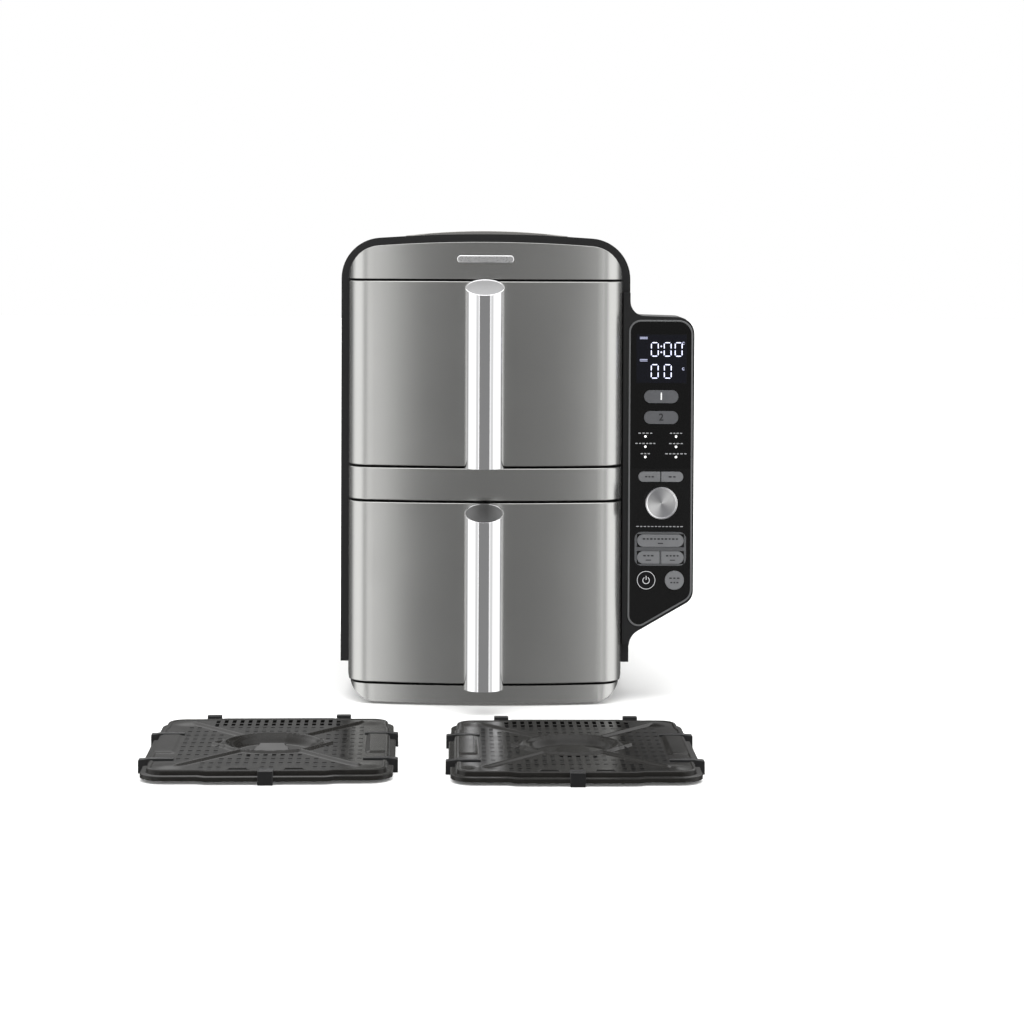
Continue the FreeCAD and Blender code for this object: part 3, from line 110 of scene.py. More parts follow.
class FinishSettings(bpy.types.PropertyGroup):
    lacquer: colour("Lacquer", "Metallic grey of the fronts and fascias", "#A3A3A1")
    housing: colour("Housing", "Black of the moulded covers", "#111112")
    top_panel: colour("Top panel", "Silver of the panel on top", "#A3A29F")
    chrome: colour("Chrome", "Plated handles", "#D9D9DA")
    facet: colour("Handle facet", "Satin inlay in a handle's end", "#929293")
    gloss: colour("Panel gloss", "Control panel's face", "#050505")
    display: colour("Display", "Display window", "#090A11")
    key_grey: colour("Grey keys", "Pads of the main keys", "#67686A")
    key_dark: colour("Dark keys", "Pads of the zone keys", "#4C4D50")
    print_ink: colour("Print", "Marks on the panel", "#929395")
    non_stick: colour("Non-stick", "Coating of pans and plates", "#171615")


class PlateSettings(bpy.types.PropertyGroup):
    hole_cells_across: bpy.props.IntProperty(name="Hole width", description="Grid cells across a perforation",
                                             default=4, min=1)
    cell_across: length("Cell across", "Grid cell from left to right, an eighth of the perforations' pitch", 0.7625)
    cell_along: length("Cell along", "Grid cell from front to back, a tenth of the perforations' pitch", 1.5)
    sheet: length("Sheet", "Pressed sheet's thickness", 0.4)
    bowl: length("Bowl", "Radius of the bowl in the middle", 33)
    bowl_depth: length("Bowl depth", "How far the bowl is pressed down", 5.2)
    rib: length("Rib", "How far ribs stand up", 1.3)


class StageSettings(bpy.types.PropertyGroup):
    distance: length("Camera distance", "From the camera to the foremost line of the fronts", 2100)
    eye: length("Eye height", "Camera's height over the worktop", 369)
    aside: length("Camera aside", "Camera's place to the right of the drawers' centreline", 21.5)
    lens: number("Lens", "Focal length in millimetres", 91.45)
    pitch: angle("Pitch", "How far the camera looks down", 1.5)
    roll: angle("Roll", "How far the camera leans", 0.25)
    shift: number("Shift", "Vertical shift of the frame", -0.1885)
    floor: colour("Floor", "Pale floor", "#F4F4F3")
    key_power: number("Key light", "Power of the overhead softbox in watts", 14.0)
    side_light: number("Side light", "Radiance of the bright side walls", 2.0)
    card_half: length("Card", "Half the width of the grey card before the handles", 210)
    front_light: number("Front light", "Radiance of the wall behind the camera", 0.3)
    back_light: number("Back light", "Radiance of the wall behind the fryer", 0.22)
    rim_light: number("Rim light", "Radiance high on the wall behind the fryer", 1.3)
    sky_light: number("Ceiling light", "Radiance of the studio's ceiling", 2.1)


def settings(group):
    return getattr(bpy.context.scene, "air_fryer_" + group)


# ---- modelling

def choose(*pieces):
    """Selects just these pieces and makes the first one active."""
    bpy.ops.object.select_all(action="DESELECT")
    for piece in pieces:
        piece.select_set(True)
    bpy.context.view_layer.objects.active = pieces[0]


@contextmanager
def editing(piece):
    """Edit mode on one piece, with nothing selected at first."""
    choose(piece)
    bpy.ops.object.mode_set(mode="EDIT")
    bpy.ops.mesh.select_all(action="DESELECT")
    yield
    bpy.ops.object.mode_set(mode="OBJECT")


def middle(face):
    """The mean of a face's corners."""
    return sum((corner.co for corner in face.verts), Vector()) / len(face.verts)


def runs_back(edge):
    """Whether an edge runs from front to back."""
    return abs((edge.verts[0].co - edge.verts[1].co).y) > 1e-6


def pick(kind, test):
    """In edit mode, selects just the vertices, edges or faces that pass the test."""
    bpy.ops.mesh.select_mode(type=kind)
    bpy.ops.mesh.select_all(action="DESELECT")
    mesh = bpy.context.edit_object.data
    shape = bmesh.from_edit_mesh(mesh)
    items = {"VERT": shape.verts, "EDGE": shape.edges, "FACE": shape.faces}[kind]
    for item in items:
        if test(item):
            item.select_set(True)
    shape.select_flush_mode()
    bmesh.update_edit_mesh(mesh)


def pick_all():
    bpy.ops.mesh.select_all(action="SELECT")


def inset(thickness, depth=0.0):
    bpy.ops.mesh.inset(thickness=thickness, depth=depth)


def move(x, y, z):
    bpy.ops.transform.translate(value=(x, y, z))


def extrude(x, y, z):
    bpy.ops.mesh.extrude_region_move(TRANSFORM_OT_translate={"value": (x, y, z)})


def spin(steps, angle, centre, axis=(0, 0, 1)):
    bpy.ops.mesh.spin(steps=steps, angle=angle, center=centre, axis=axis)


def turn(degrees, axis, centre):
    """In edit mode, turns the selection about an axis through a point, by the right-hand rule."""
    swing = Matrix.Translation(centre) @ Matrix.Rotation(math.radians(degrees), 4, axis) @ Matrix.Translation(-centre)
    mesh = bpy.context.edit_object.data
    shape = bmesh.from_edit_mesh(mesh)
    bmesh.ops.transform(shape, matrix=swing, verts=[corner for corner in shape.verts if corner.select])
    bmesh.update_edit_mesh(mesh)


def settled(name):
    """Names the new piece and puts its place into its mesh."""
    piece = bpy.context.object
    piece.name = piece.data.name = name
    bpy.ops.object.transform_apply(location=True, rotation=True, scale=True)
    return piece


def block(name, low, high):
    low, high = Vector(low), Vector(high)
    bpy.ops.mesh.primitive_cube_add(size=1, location=(low + high) / 2, scale=high - low)
    return settled(name)


def rod(name, centre, radius, depth, tilt=0.0):
    """A round bar that stands upright, or is tilted about the X axis."""
    bpy.ops.mesh.primitive_cylinder_add(vertices=96, radius=radius, depth=depth, location=centre, rotation=(tilt, 0, 0))
    return settled(name)


def modify(piece, kind, **values):
    """Adds a modifier and applies it."""
    choose(piece)
    modifier = piece.modifiers.new(kind.title(), kind)
    for key, value in values.items():
        setattr(modifier, key, value)
    bpy.ops.object.modifier_apply(modifier=modifier.name)
    return piece


def rounded(piece, width, segments=3, angle=35):
    """Rounds every edge that is sharper than the angle."""
    return modify(piece, "BEVEL", width=width, segments=segments, limit_method="ANGLE",
                  angle_limit=math.radians(angle), use_clamp_overlap=True)


def cut_with(piece, tool, operation):
    modify(piece, "BOOLEAN", operation=operation, object=tool, solver="EXACT")
    bpy.data.objects.remove(tool)
    return piece


def joined(name, pieces):
    choose(*pieces)
    if len(pieces) > 1:
        bpy.ops.object.join()
    pieces[0].name = pieces[0].data.name = name
    return pieces[0]


def copy_of(piece, name, matrix):
    """A copy with its own mesh, moved by the matrix."""
    copy = piece.copy()
    copy.data = piece.data.copy()
    copy.name = copy.data.name = name
    copy.data.transform(matrix)
    bpy.context.collection.objects.link(copy)
    return copy


def refined(cad_node, width, segments=2, angle=30):
    """A copy of a CAD node with its triangles merged into whole faces and its edges rounded."""
    piece = bpy.data.objects.new(cad_node + "_finished", frame["nodes"][cad_node].data.copy())
    piece.data.name = piece.name
    piece.data.materials.clear()
    bpy.context.collection.objects.link(piece)
    with editing(piece):
        pick_all()
        bpy.ops.mesh.remove_doubles(threshold=0.002 * MM)
        bpy.ops.mesh.dissolve_limited(angle_limit=math.radians(0.2))
    if piece.data.has_custom_normals:
        with bpy.context.temp_override(object=piece, active_object=piece):
            bpy.ops.mesh.customdata_custom_splitnormals_clear()
    return rounded(piece, width, segments, angle)


def place(piece, body, finishes, nodes=(), smooth=35):
    """Gives a finished piece its finish and its body, and stands it for the CAD nodes that it replaces."""
    piece.data.materials.clear()
    for finish in finishes:
        piece.data.materials.append(finish)
    choose(piece)
    bpy.ops.object.shade_smooth_by_angle(angle=math.radians(smooth))
    modify(piece, "WEIGHTED_NORMAL", keep_sharp=True)
    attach(piece, body)
    if nodes:
        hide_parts(*nodes)


def body_of(cad_node):
    return frame["nodes"][cad_node]["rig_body"]


def dress_node(cad_node, width, finish, segments=2, angle=30):
    """Stands a rounded copy with its finish for a CAD node, on the same body."""
    place(refined(cad_node, width, segments, angle), body_of(cad_node), [finish], [cad_node])


# ---- finishes

def linear(code):
    """An sRGB hex value as linear light, with full opacity."""
    channels = [int(code[i:i + 2], 16) / 255 for i in (1, 3, 5)]
    return [c / 12.92 if c <= 0.04045 else ((c + 0.055) / 1.055) ** 2.4 for c in channels] + [1.0]


def shade(code, amount):
    """The same sRGB colour, lighter or darker by a share."""
    channels = [max(0, min(255, round(int(code[i:i + 2], 16) * amount))) for i in (1, 3, 5)]
    return "#" + "".join(f"{c:02X}" for c in channels)


def node(tree, kind, inputs=None, **values):
    """Adds a node, sets its values and fills its inputs with numbers or with other nodes' outputs."""
    made = tree.nodes.new("ShaderNode" + kind)
    for key, value in values.items():
        setattr(made, key, value)
    for key, value in (inputs or {}).items():
        if isinstance(value, bpy.types.NodeSocket):
            tree.links.new(value, made.inputs[key])
        else:
            made.inputs[key].default_value = value
    return made


NOISE_RANGE = {1: 0.3, 2: 0.7}            # most of a noise lies between these two


def vary(tree, shader, pattern, colours=None, rough=None, bump=None):
    """Lets a pattern mix two colours, set the roughness between two values, and dimple the surface.

    A bump is its strength and its height in millimetres."""
    if colours:
        dark, light = colours
        mixed = node(tree, "Mix", {0: pattern, 6: linear(dark), 7: linear(light)}, data_type="RGBA")
        tree.links.new(mixed.outputs[2], shader.inputs["Base Color"])
    if rough:
        spread = node(tree, "MapRange", {0: pattern, **NOISE_RANGE, 3: rough[0], 4: rough[1]})
        tree.links.new(spread.outputs[0], shader.inputs["Roughness"])
    if bump:
        raised = node(tree, "Bump", {"Height": pattern, "Strength": bump[0], "Distance": bump[1] * MM})
        tree.links.new(raised.outputs[0], shader.inputs["Normal"])


def add_grain(tree, shader, here, code, size, detail=2.0, run=None, crisp=False, tint=None, rough=None, bump=None):
    """Grain whose features measure the given millimetres, drawn out by the scales in run.

    Tint holds the shares of the colour that it varies between."""
    if run:
        here = node(tree, "Mapping", {"Vector": here, "Scale": run}).outputs[0]
    grain = node(tree, "TexNoise", {"Vector": here, "Scale": 1 / (size * MM), "Detail": detail}).outputs[0]
    if crisp:
        grain = node(tree, "MapRange", {0: grain, **NOISE_RANGE}).outputs[0]
    vary(tree, shader, grain, tint and [shade(code, share) for share in tint], rough, bump)


def surface(name, code, metallic, roughness, grains=(), dress=None, **inputs):
    """A material, made once under its name, with its grains and any further nodes that dress adds."""
    made = bpy.data.materials.get(name)
    if made:
        return made
    made = bpy.data.materials.new(name)
    made.use_nodes = True
    tree = made.node_tree
    shader = tree.nodes["Principled BSDF"]
    shader.inputs["Base Color"].default_value = linear(code)
    shader.inputs["Metallic"].default_value = metallic
    shader.inputs["Roughness"].default_value = roughness
    for key, value in inputs.items():
        shader.inputs[key.replace("_", " ").title().replace("Ior", "IOR")].default_value = value
    here = node(tree, "TexCoord").outputs["Object"]
    for grain in grains:
        add_grain(tree, shader, here, code, **grain)
    if dress:
        dress(tree, shader, here)
    return made


def lacquer_finish():
    """Metal-effect lacquer on moulded plastic, sprayed: soft streaks of light, and a fine sparkle of flakes."""
    # flakes measure 0.05 mm and are drawn at 0.5 mm, the finest that shows
    return surface("metallic_lacquer_sprayed", settings("finish").lacquer, 0.95, 0.24,
                   [dict(size=0.5, detail=1, tint=(0.97, 1.03)), dict(size=60, rough=(0.23, 0.27)),
                    dict(size=0.9, detail=1, bump=(0.04, 0.01))])


def moulded_finish(name="abs_moulded_black", code=None, roughness=0.42, grain=0.7, depth=0.03):
    """ABS, moulded in a spark-eroded tool: an even fine grain that breaks up reflections."""
    return surface(name, code or settings("finish").housing, 0, roughness,
                   [dict(size=35, tint=(0.9, 1.12)),
                    dict(size=grain, detail=3, rough=(roughness - 0.04, roughness + 0.06), bump=(0.5, depth))],
                   ior=1.54, specular_ior_level=0.4)


def painted_finish():
    """Silver paint on steel sheet, sprayed: satin, with the faint dimples of sprayed paint."""
    return surface("silver_paint_satin", settings("finish").top_panel, 0.7, 0.34,
                   [dict(size=1.2, tint=(0.95, 1.04), bump=(0.15, 0.03))])


def chrome_finish():
    """Bright chrome plate on polished aluminium: a clear mirror with faint wiping marks."""
    return surface("chrome_plated", settings("finish").chrome, 1, 0.07,
                   [dict(size=9, detail=4, run=(1, 1, 0.12), rough=(0.05, 0.1))])


def brushed_finish():
    """Aluminium, brushed one way and anodised: a satin face with fine parallel lines."""
    # brushing is 0.05 mm fine and is drawn at 0.35 mm
    return surface("aluminium_brushed", settings("finish").facet, 1, 0.38,
                   [dict(size=0.35, run=(1, 0.04, 0.04), rough=(0.34, 0.42))])


PAINTED_FAN_TURN = 0.7                            # where the rays of light painted into the dial's colour begin


def spun_finish():
    """Aluminium, turned and spun on a lathe: rings about the dial's axis, with a fan of light painted into its colour.
    """
    code = "#E9E9EA"
    low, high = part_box("knob")
    axis = (low + high) / 2

    def dress(tree, shader, here):
        centred = node(tree, "VectorMath", {0: here, 1: (axis.x, 0, axis.z)}, operation="SUBTRACT").outputs[0]
        flat = node(tree, "VectorMath", {0: centred, 1: (1, 0, 1)}, operation="MULTIPLY").outputs[0]
        around = node(tree, "VectorMath", {0: flat, 1: (0, 1, 0)}, operation="CROSS_PRODUCT").outputs[0]
        tangent = node(tree, "VectorMath", {0: around}, operation="NORMALIZE").outputs[0]
        tree.links.new(tangent, shader.inputs["Tangent"])
        radius = node(tree, "VectorMath", {0: flat}, operation="LENGTH").outputs["Value"]
        rings = node(tree, "CombineXYZ", {"X": radius}).outputs[0]
        # turning marks are 0.1 mm apart and are drawn at 0.3 mm
        add_grain(tree, shader, rings, code, size=0.3, rough=(0.3, 0.36))
        # painted highlight: a fan of two bright rays painted into the colour, opposite each other, up to the right and
        # down to the left
        spot = node(tree, "SeparateXYZ", {0: flat}).outputs
        angle = node(tree, "Math", {0: spot["Z"], 1: spot["X"]}, operation="ARCTAN2").outputs[0]
        twice = node(tree, "Math", {0: angle, 1: 2.0, 2: PAINTED_FAN_TURN}, operation="MULTIPLY_ADD").outputs[0]
        wave = node(tree, "Math", {0: twice}, operation="SINE").outputs[0]
        painted_highlight = node(tree, "MapRange", {0: wave, 1: -1.0, 2: 1.0}).outputs[0]
        vary(tree, shader, painted_highlight, ("#A6A6A9", "#FFFFFF"))

    return surface("aluminium_spun", code, 1, 0.33, dress=dress, anisotropic=0.92, anisotropic_rotation=0.09)


def gloss_finish(name, code, roughness=0.06, split=None):
    """Polished acrylic: deep gloss with the faint ripple of an injected sheet, and greyer below the split's height."""
    def dress(tree, shader, here):
        if split:
            height = node(tree, "SeparateXYZ", {0: here}).outputs["Z"]
            upper = node(tree, "Math", {0: height, 1: split}, operation="GREATER_THAN").outputs[0]
            vary(tree, shader, upper, (shade(code, 2.2), code))

    return surface(name, code, 0, roughness,
                   [dict(size=30, rough=(roughness, roughness + 0.05)), dict(size=14, detail=1, bump=(0.05, 0.05))],
                   dress, ior=1.49, specular_ior_level=0.35)


def trim_finish():
    """Silver metallised plastic: the thin ring round the panel."""
    return surface("metallised_trim", "#8F9091", 0.9, 0.36, [dict(size=9, rough=(0.34, 0.38))])


def key_finish(name, code):
    """Polycarbonate pad with a printed-on grey: smooth, half matt."""
    return surface(name, code, 0, 0.36, [dict(size=6, tint=(0.95, 1.05)), dict(size=0.6, bump=(0.1, 0.02))], ior=1.58)


def ink_finish(name, code, light=0.0):
    """Screen-printed ink, or a lit segment when it is given light."""
    return surface(name, code, 0, 0.5, [dict(size=0.8, tint=(0.92, 1))],
                   emission_color=linear(code), emission_strength=light)


def non_stick_finish():
    """PTFE coating, sprayed and baked on steel: dark satin with small speckles and a soft orange peel."""
    return surface("non_stick_baked", settings("finish").non_stick, 0, 0.22,
                   [dict(size=0.9, crisp=True, tint=(0.85, 1.35)), dict(size=18, rough=(0.18, 0.26)),
                    dict(size=2.2, bump=(0.08, 0.04))], ior=1.35, specular_ior_level=0.22)


def silicone_finish():
    """Silicone rubber, pressed: matt black with a soft bloom."""
    return surface("silicone_pressed", "#121213", 0, 0.48,
                   [dict(size=3, rough=(0.4, 0.58)), dict(size=0.8, bump=(0.2, 0.03))], ior=1.41)


def sheet_finish():
    """Aluminised steel, hot-dipped and pressed: pale grey with a spangle of cells."""
    def dress(tree, shader, here):
        spangle = node(tree, "TexVoronoi", {"Vector": here, "Scale": 1 / (9 * MM)}).outputs["Color"]
        grey = node(tree, "SeparateColor", {0: spangle}).outputs[0]
        vary(tree, shader, grey, ("#8E9091", "#ACAEAF"), (0.36, 0.5))

    return surface("steel_aluminised", "#9FA1A2", 1, 0.42, dress=dress)


def metal_finish(name, code, roughness, grain):
    """Bare metal part: cast, drawn or stamped, with a grain of its own size in millimetres."""
    return surface(name, code, 1, roughness,
                   [dict(size=grain, detail=3, tint=(0.82, 1.08), rough=(roughness - 0.06, roughness + 0.08),
                         bump=(0.25, 0.04))])


def plated_finish():
    """Steel, turned and zinc-plated: bright grey with a slight warm cast."""
    return metal_finish("steel_zinc_plated", "#B7B5AD", 0.3, 1.0)


def board_finish():
    """Glass-fibre circuit board, lacquered green: copper tracks show as lighter lines under the lacquer."""
    def dress(tree, shader, here):
        turned = node(tree, "Mapping", {"Vector": here, "Rotation": (math.pi / 2, 0, 0)}).outputs[0]
        tracks = node(tree, "TexBrick", {"Vector": turned, "Scale": 1 / (12 * MM), "Mortar Size": 0.03,
                                         "Color1": linear("#1B5233"), "Color2": linear("#205E3B"),
                                         "Mortar": linear("#3C8A57")}).outputs[0]
        tree.links.new(tracks, shader.inputs["Base Color"])

    return surface("circuit_board_lacquered", "#1E5A38", 0, 0.35, [dict(size=1.5, bump=(0.2, 0.03))], dress, ior=1.5)


def floor_finish():
    """Matt painted board: pale and even, with a faint roller texture."""
    return surface("matt_painted_board", settings("stage").floor, 0, 0.7,
                   [dict(size=400, tint=(0.985, 1)), dict(size=1.5, bump=(0.05, 0.02))])


# ---- fronts and fascias

def bowed_block(name, half, depth, low, high, bow, corner, foot=0.0):
    """A block with a bowed front at y = 0, rounded front corners and, with a foot radius, rounded back corners."""
    lean = math.asin((half - corner) / (bow - corner))
    corner_y = bow - (bow - corner) * math.cos(lean)
    piece = block(name, (0, 0, low), (half, depth, high))
    with editing(piece):
        pick("VERT", lambda v: v.co.x > 0 or v.co.y > 0)
        bpy.ops.mesh.delete(type="VERT")
        pick_all()
        spin(22, -lean, (0, bow, 0))
        spin(9, lean - math.pi / 2, (half - corner, corner_y, 0))
        extrude(0, depth - foot - corner_y, 0)
        if foot:
            spin(9, -math.pi / 2, (half - foot, depth - foot, 0))
        extrude(foot - half, 0, 0)
        for level in (low, high):
            pick("VERT", lambda v: abs(v.co.z - level) < 1e-6)
            bpy.ops.mesh.edge_face_add()
    modify(piece, "MIRROR", use_axis=(True, False, False), use_clip=True, merge_threshold=0.01 * MM)
    with editing(piece):
        pick("FACE", lambda f: abs(middle(f).x) < 1e-7 and abs(f.normal.x) > 0.9)
        bpy.ops.mesh.delete(type="FACE")
        pick_all()
        bpy.ops.mesh.remove_doubles(threshold=0.01 * MM)
        bpy.ops.mesh.normals_make_consistent(inside=False)
    return piece


def fascia_outline():
    """The outline of all the fronts together as a deep block, seen from the front."""
    sizes = settings("housing")
    low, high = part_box("top_fascia")
    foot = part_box("bottom_fascia")[0].z
    half = (high.x - low.x) / 2
    before, behind = -50 * MM, 200 * MM     # reaches past every front
    tool = bowed_block("outline", half, high.z - foot, before, behind, sizes.crown, sizes.top_corner,
                       sizes.plinth_corner)
    stand = Matrix.Translation(((low.x + high.x) / 2, low.y, high.z)) @ Matrix.Rotation(-math.pi / 2, 4, "X")
    tool.data.transform(stand)
    return tool


def bowed_front(cad_node, name):
    """A drawer front or fascia as large as its CAD node, cut to the common outline."""
    sizes = settings("housing")
    low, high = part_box(cad_node)
    half = (high.x - low.x) / 2
    piece = bowed_block(name, half, high.y - low.y, low.z, high.z, sizes.bow, sizes.corner)
    piece.data.transform(Matrix.Translation(((low.x + high.x) / 2, low.y, 0)))
    return cut_with(piece, fascia_outline(), "INTERSECT")


class AIRFRYER_OT_fronts(bpy.types.Operator):
    """Adds the two drawer fronts and the three fascias between and round them"""
    bl_idname = "air_fryer.fronts"
    bl_label = "Fronts and fascias"

    def execute(self, context):
        sizes = settings("housing")
        wall, pocket = 3 * MM, 4 * MM
        for cad_node in ("bottom_fascia", "lower_drawer_front", "middle_fascia", "upper_drawer_front", "top_fascia"):
            piece = bowed_front(cad_node, cad_node + "_lacquered")
            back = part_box(cad_node)[1].y

            def at_back(face):
                return abs(middle(face).y - back) < 1e-6 and face.normal.y > 0.9

            with editing(piece):
                pick("FACE", at_back)
                bpy.ops.mesh.dissolve_limited(angle_limit=math.radians(1))
                pick("FACE", at_back)
                inset(wall)
                extrude(0, -pocket, 0)
            width = sizes.top_edge if cad_node == "top_fascia" else sizes.front_edge
            rounded(piece, width, 4)
            place(piece, body_of(cad_node), [lacquer_finish()], [cad_node], smooth=30)
        return {"FINISHED"}


class AIRFRYER_OT_badge(bpy.types.Operator):
    """Adds the plain pill on the top fascia"""
    bl_idname = "air_fryer.badge"
    bl_label = "Badge"

    def execute(self, context):
        low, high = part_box("badge")
        edge, rim, recess = 0.75 * MM, 0.5 * MM, 0.15 * MM
        piece = block("badge_pill", low, high)
        with editing(piece):
            pick("EDGE", runs_back)
            bpy.ops.mesh.bevel(offset=(high.z - low.z) * 0.48, segments=8)
            pick("FACE", lambda f: f.normal.y < -0.9)
            bpy.ops.mesh.bevel(offset=edge, segments=4)
            pick("FACE", lambda f: f.normal.y < -0.99)
            inset(rim, -recess)
        place(piece, "root", [metal_finish("aluminium_foil_badge", "#F2F2F2", 0.3, 0.8)], ["badge"])
        return {"FINISHED"}


# ---- handles

class AIRFRYER_OT_handles(bpy.types.Operator):
    """Adds the two tubular handles with their sloping ends, and their posts"""
    bl_idname = "air_fryer.handles"
    bl_label = "Handles"

    def execute(self, context):
        sizes = settings("housing")
        slope = Vector((0, -math.sin(sizes.slant), math.cos(sizes.slant)))
        groove, inlay_depth = 0.15 * MM, 0.3 * MM
        foot_rim, foot_recess = 2.2 * MM, 1.2 * MM
        for level in LEVELS:
            low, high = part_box(level + "_handle")
            axis = (low + high) / 2
            radius = (high.x - low.x) / 2
            bar = rod(level + "_handle_bar", axis, radius, high.z - low.z)
            with editing(bar):
                pick_all()
                bpy.ops.mesh.bisect(plane_co=(axis.x, high.y, high.z), plane_no=slope, use_fill=True,
                                    clear_outer=True)
                pick("FACE", lambda f: f.normal.dot(slope) > 0.95)
                inset(sizes.handle_rim)
                inset(groove, -inlay_depth)
                bpy.ops.object.material_slot_add()
                bpy.ops.object.material_slot_add()
                bpy.context.object.active_material_index = 1
                bpy.ops.object.material_slot_assign()
                pick("FACE", lambda f: f.normal.z < -0.95)
                inset(foot_rim)
                extrude(0, 0, foot_recess)
            rounded(bar, 0.4 * MM, 3, 30)
            marks = [polygon.material_index for polygon in bar.data.polygons]
            place(bar, body_of(level + "_handle"), [chrome_finish(), brushed_finish()], [level + "_handle"])
            bar.data.polygons.foreach_set("material_index", marks)
            dress_node(level + "_handle_posts", 0.3 * MM, moulded_finish())
        return {"FINISHED"}


# ---- housing

class AIRFRYER_OT_housing(bpy.types.Operator):
    """Adds the black rim, the covers, the base tray with its feet and the silver panel on top"""
    bl_idname = "air_fryer.housing"
    bl_label = "Housing"

    def execute(self, context):
        edge = settings("housing").case_edge
        for cad_node in ("front_bezel", "side_cover_left", "side_cover_right", "top_cover", "rear_cover",
                         "base_tray"):
            width = 0.5 * MM if cad_node in ("rear_cover", "base_tray") else edge
            dress_node(cad_node, width, moulded_finish(), 3)
        dress_node("top_panel", 0.9 * MM, painted_finish(), 3)
        dress_node("feet", 0.5 * MM, silicone_finish())
        dress_node("cord_gland", 0.5 * MM, silicone_finish())
        return {"FINISHED"}


class AIRFRYER_OT_screws(bpy.types.Operator):
    """Adds the rear cover's screws with their cross recesses"""
    bl_idname = "air_fryer.screws"
    bl_label = "Rear screws"

    def execute(self, context):
        dress_node("rear_screws", 0.3 * MM, plated_finish(), 3)
        return {"FINISHED"}


# ---- control wing

class AIRFRYER_OT_wing(bpy.types.Operator):
    """Adds the control wing's shell, its silver ring, its glossy face and the display window"""
    bl_idname = "air_fryer.wing"
    bl_label = "Control wing"

    def execute(self, context):
        colours = settings("finish")
        gloss = gloss_finish("acrylic_polished_black", colours.gloss, split=191 * MM)
        tinted = gloss_finish("acrylic_tinted_display", colours.display, 0.04)
        dress_node("wing_shell", 0.8 * MM, moulded_finish(), 3)
        dress_node("panel_trim", 0.3 * MM, trim_finish())
        dress_node("panel_face", 0.12 * MM, gloss)
        dress_node("display_window", 0.2 * MM, tinted)
        return {"FINISHED"}


KEYS = ("zone_1", "zone_2", "temperature", "time", "pair", "sync", "match", "power", "start")


class AIRFRYER_OT_keys(bpy.types.Operator):
    """Adds the nine keys of the control panel"""
    bl_idname = "air_fryer.keys"
    bl_label = "Keys"

    def execute(self, context):
        colours = settings("finish")
        grey = key_finish("polycarbonate_grey_pad", colours.key_grey)
        dark = key_finish("polycarbonate_dark_pad", colours.key_dark)
        black = gloss_finish("polycarbonate_black_pad", "#0B0B0D", 0.14)
        finishes = {"zone_1": dark, "zone_2": dark, "power": black}
        for key in KEYS:
            dress_node(key + "_button", 0.2 * MM, finishes.get(key, grey))
        return {"FINISHED"}


class AIRFRYER_OT_dial(bpy.types.Operator):
    """Adds the spun metal dial, turned from a solid bar"""
    bl_idname = "air_fryer.dial"
    bl_label = "Dial"

    def execute(self, context):
        low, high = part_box("knob")
        axis = (low + high) / 2
        radius = (high.x - low.x) / 2
        rim, groove, groove_depth = 0.9 * MM, 0.35 * MM, 0.3 * MM
        dishing = ((6 * MM, 0.35 * MM), (3.5 * MM, 0.12 * MM))       # each ring's width and how far it goes in
        wall, hollow = 2 * MM, 6 * MM
        dial = rod("dial_turned", axis, radius, high.y - low.y, math.pi / 2)
        with editing(dial):
            pick("FACE", lambda f: f.normal.y < -0.9)
            inset(rim)
            inset(groove, -groove_depth)
            for width, depth in dishing:
                inset(width)
                move(0, depth, 0)
            pick("FACE", lambda f: f.normal.y > 0.9)
            inset(wall)
            extrude(0, -hollow, 0)
        rounded(dial, 0.35 * MM, 3, 25)
        place(dial, body_of("knob"), [spun_finish()], ["knob"])
        return {"FINISHED"}


# Marks are sized in millimetres: across from the panel's middle line, height over the worktop, their width and
# height, and how far they stand proud of the panel.

def panel_spot(across, height, proud=0.05):
    """A point on the control panel's face."""
    low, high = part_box("zone_1_button")
    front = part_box("panel_face")[0].y
    return Vector(((low.x + high.x) / 2 + across * MM, front - proud * MM, height * MM))


def flat_bar(name, across, height, wide, tall, proud=0.05, round_end=True):
    """A thin printed or lit bar on the panel."""
    spot = panel_spot(across, height, proud)
    half = Vector((wide / 2, 0.05, tall / 2)) * MM
    bar = block(name, spot - half, spot + half)
    if round_end:
        with editing(bar):
            pick("EDGE", runs_back)
            bpy.ops.mesh.bevel(offset=min(wide, tall) * 0.45 * MM, segments=3)
    return bar


def ring(name, across, height, radius, thick, start=0.0, sweep=360.0, proud=0.05):
    """A thin printed ring or arc on the panel, spun from one small bar."""
    centre = panel_spot(across, height, proud)
    sliver, degrees_per_step = 0.02, 12
    first = flat_bar(name, across + radius, height, thick, sliver, proud, round_end=False)
    steps = max(6, round(sweep / degrees_per_step))
    with editing(first):
        pick("FACE", lambda f: f.normal.z < 0.9)
        bpy.ops.mesh.delete(type="FACE")
        pick_all()
        turn(-start, "Y", centre)
        pick_all()
        spin(steps, math.radians(sweep), centre, (0, 1, 0))
        pick_all()
        bpy.ops.mesh.remove_doubles(threshold=0.005 * MM)
        bpy.ops.mesh.normals_make_consistent(inside=False)
    return first


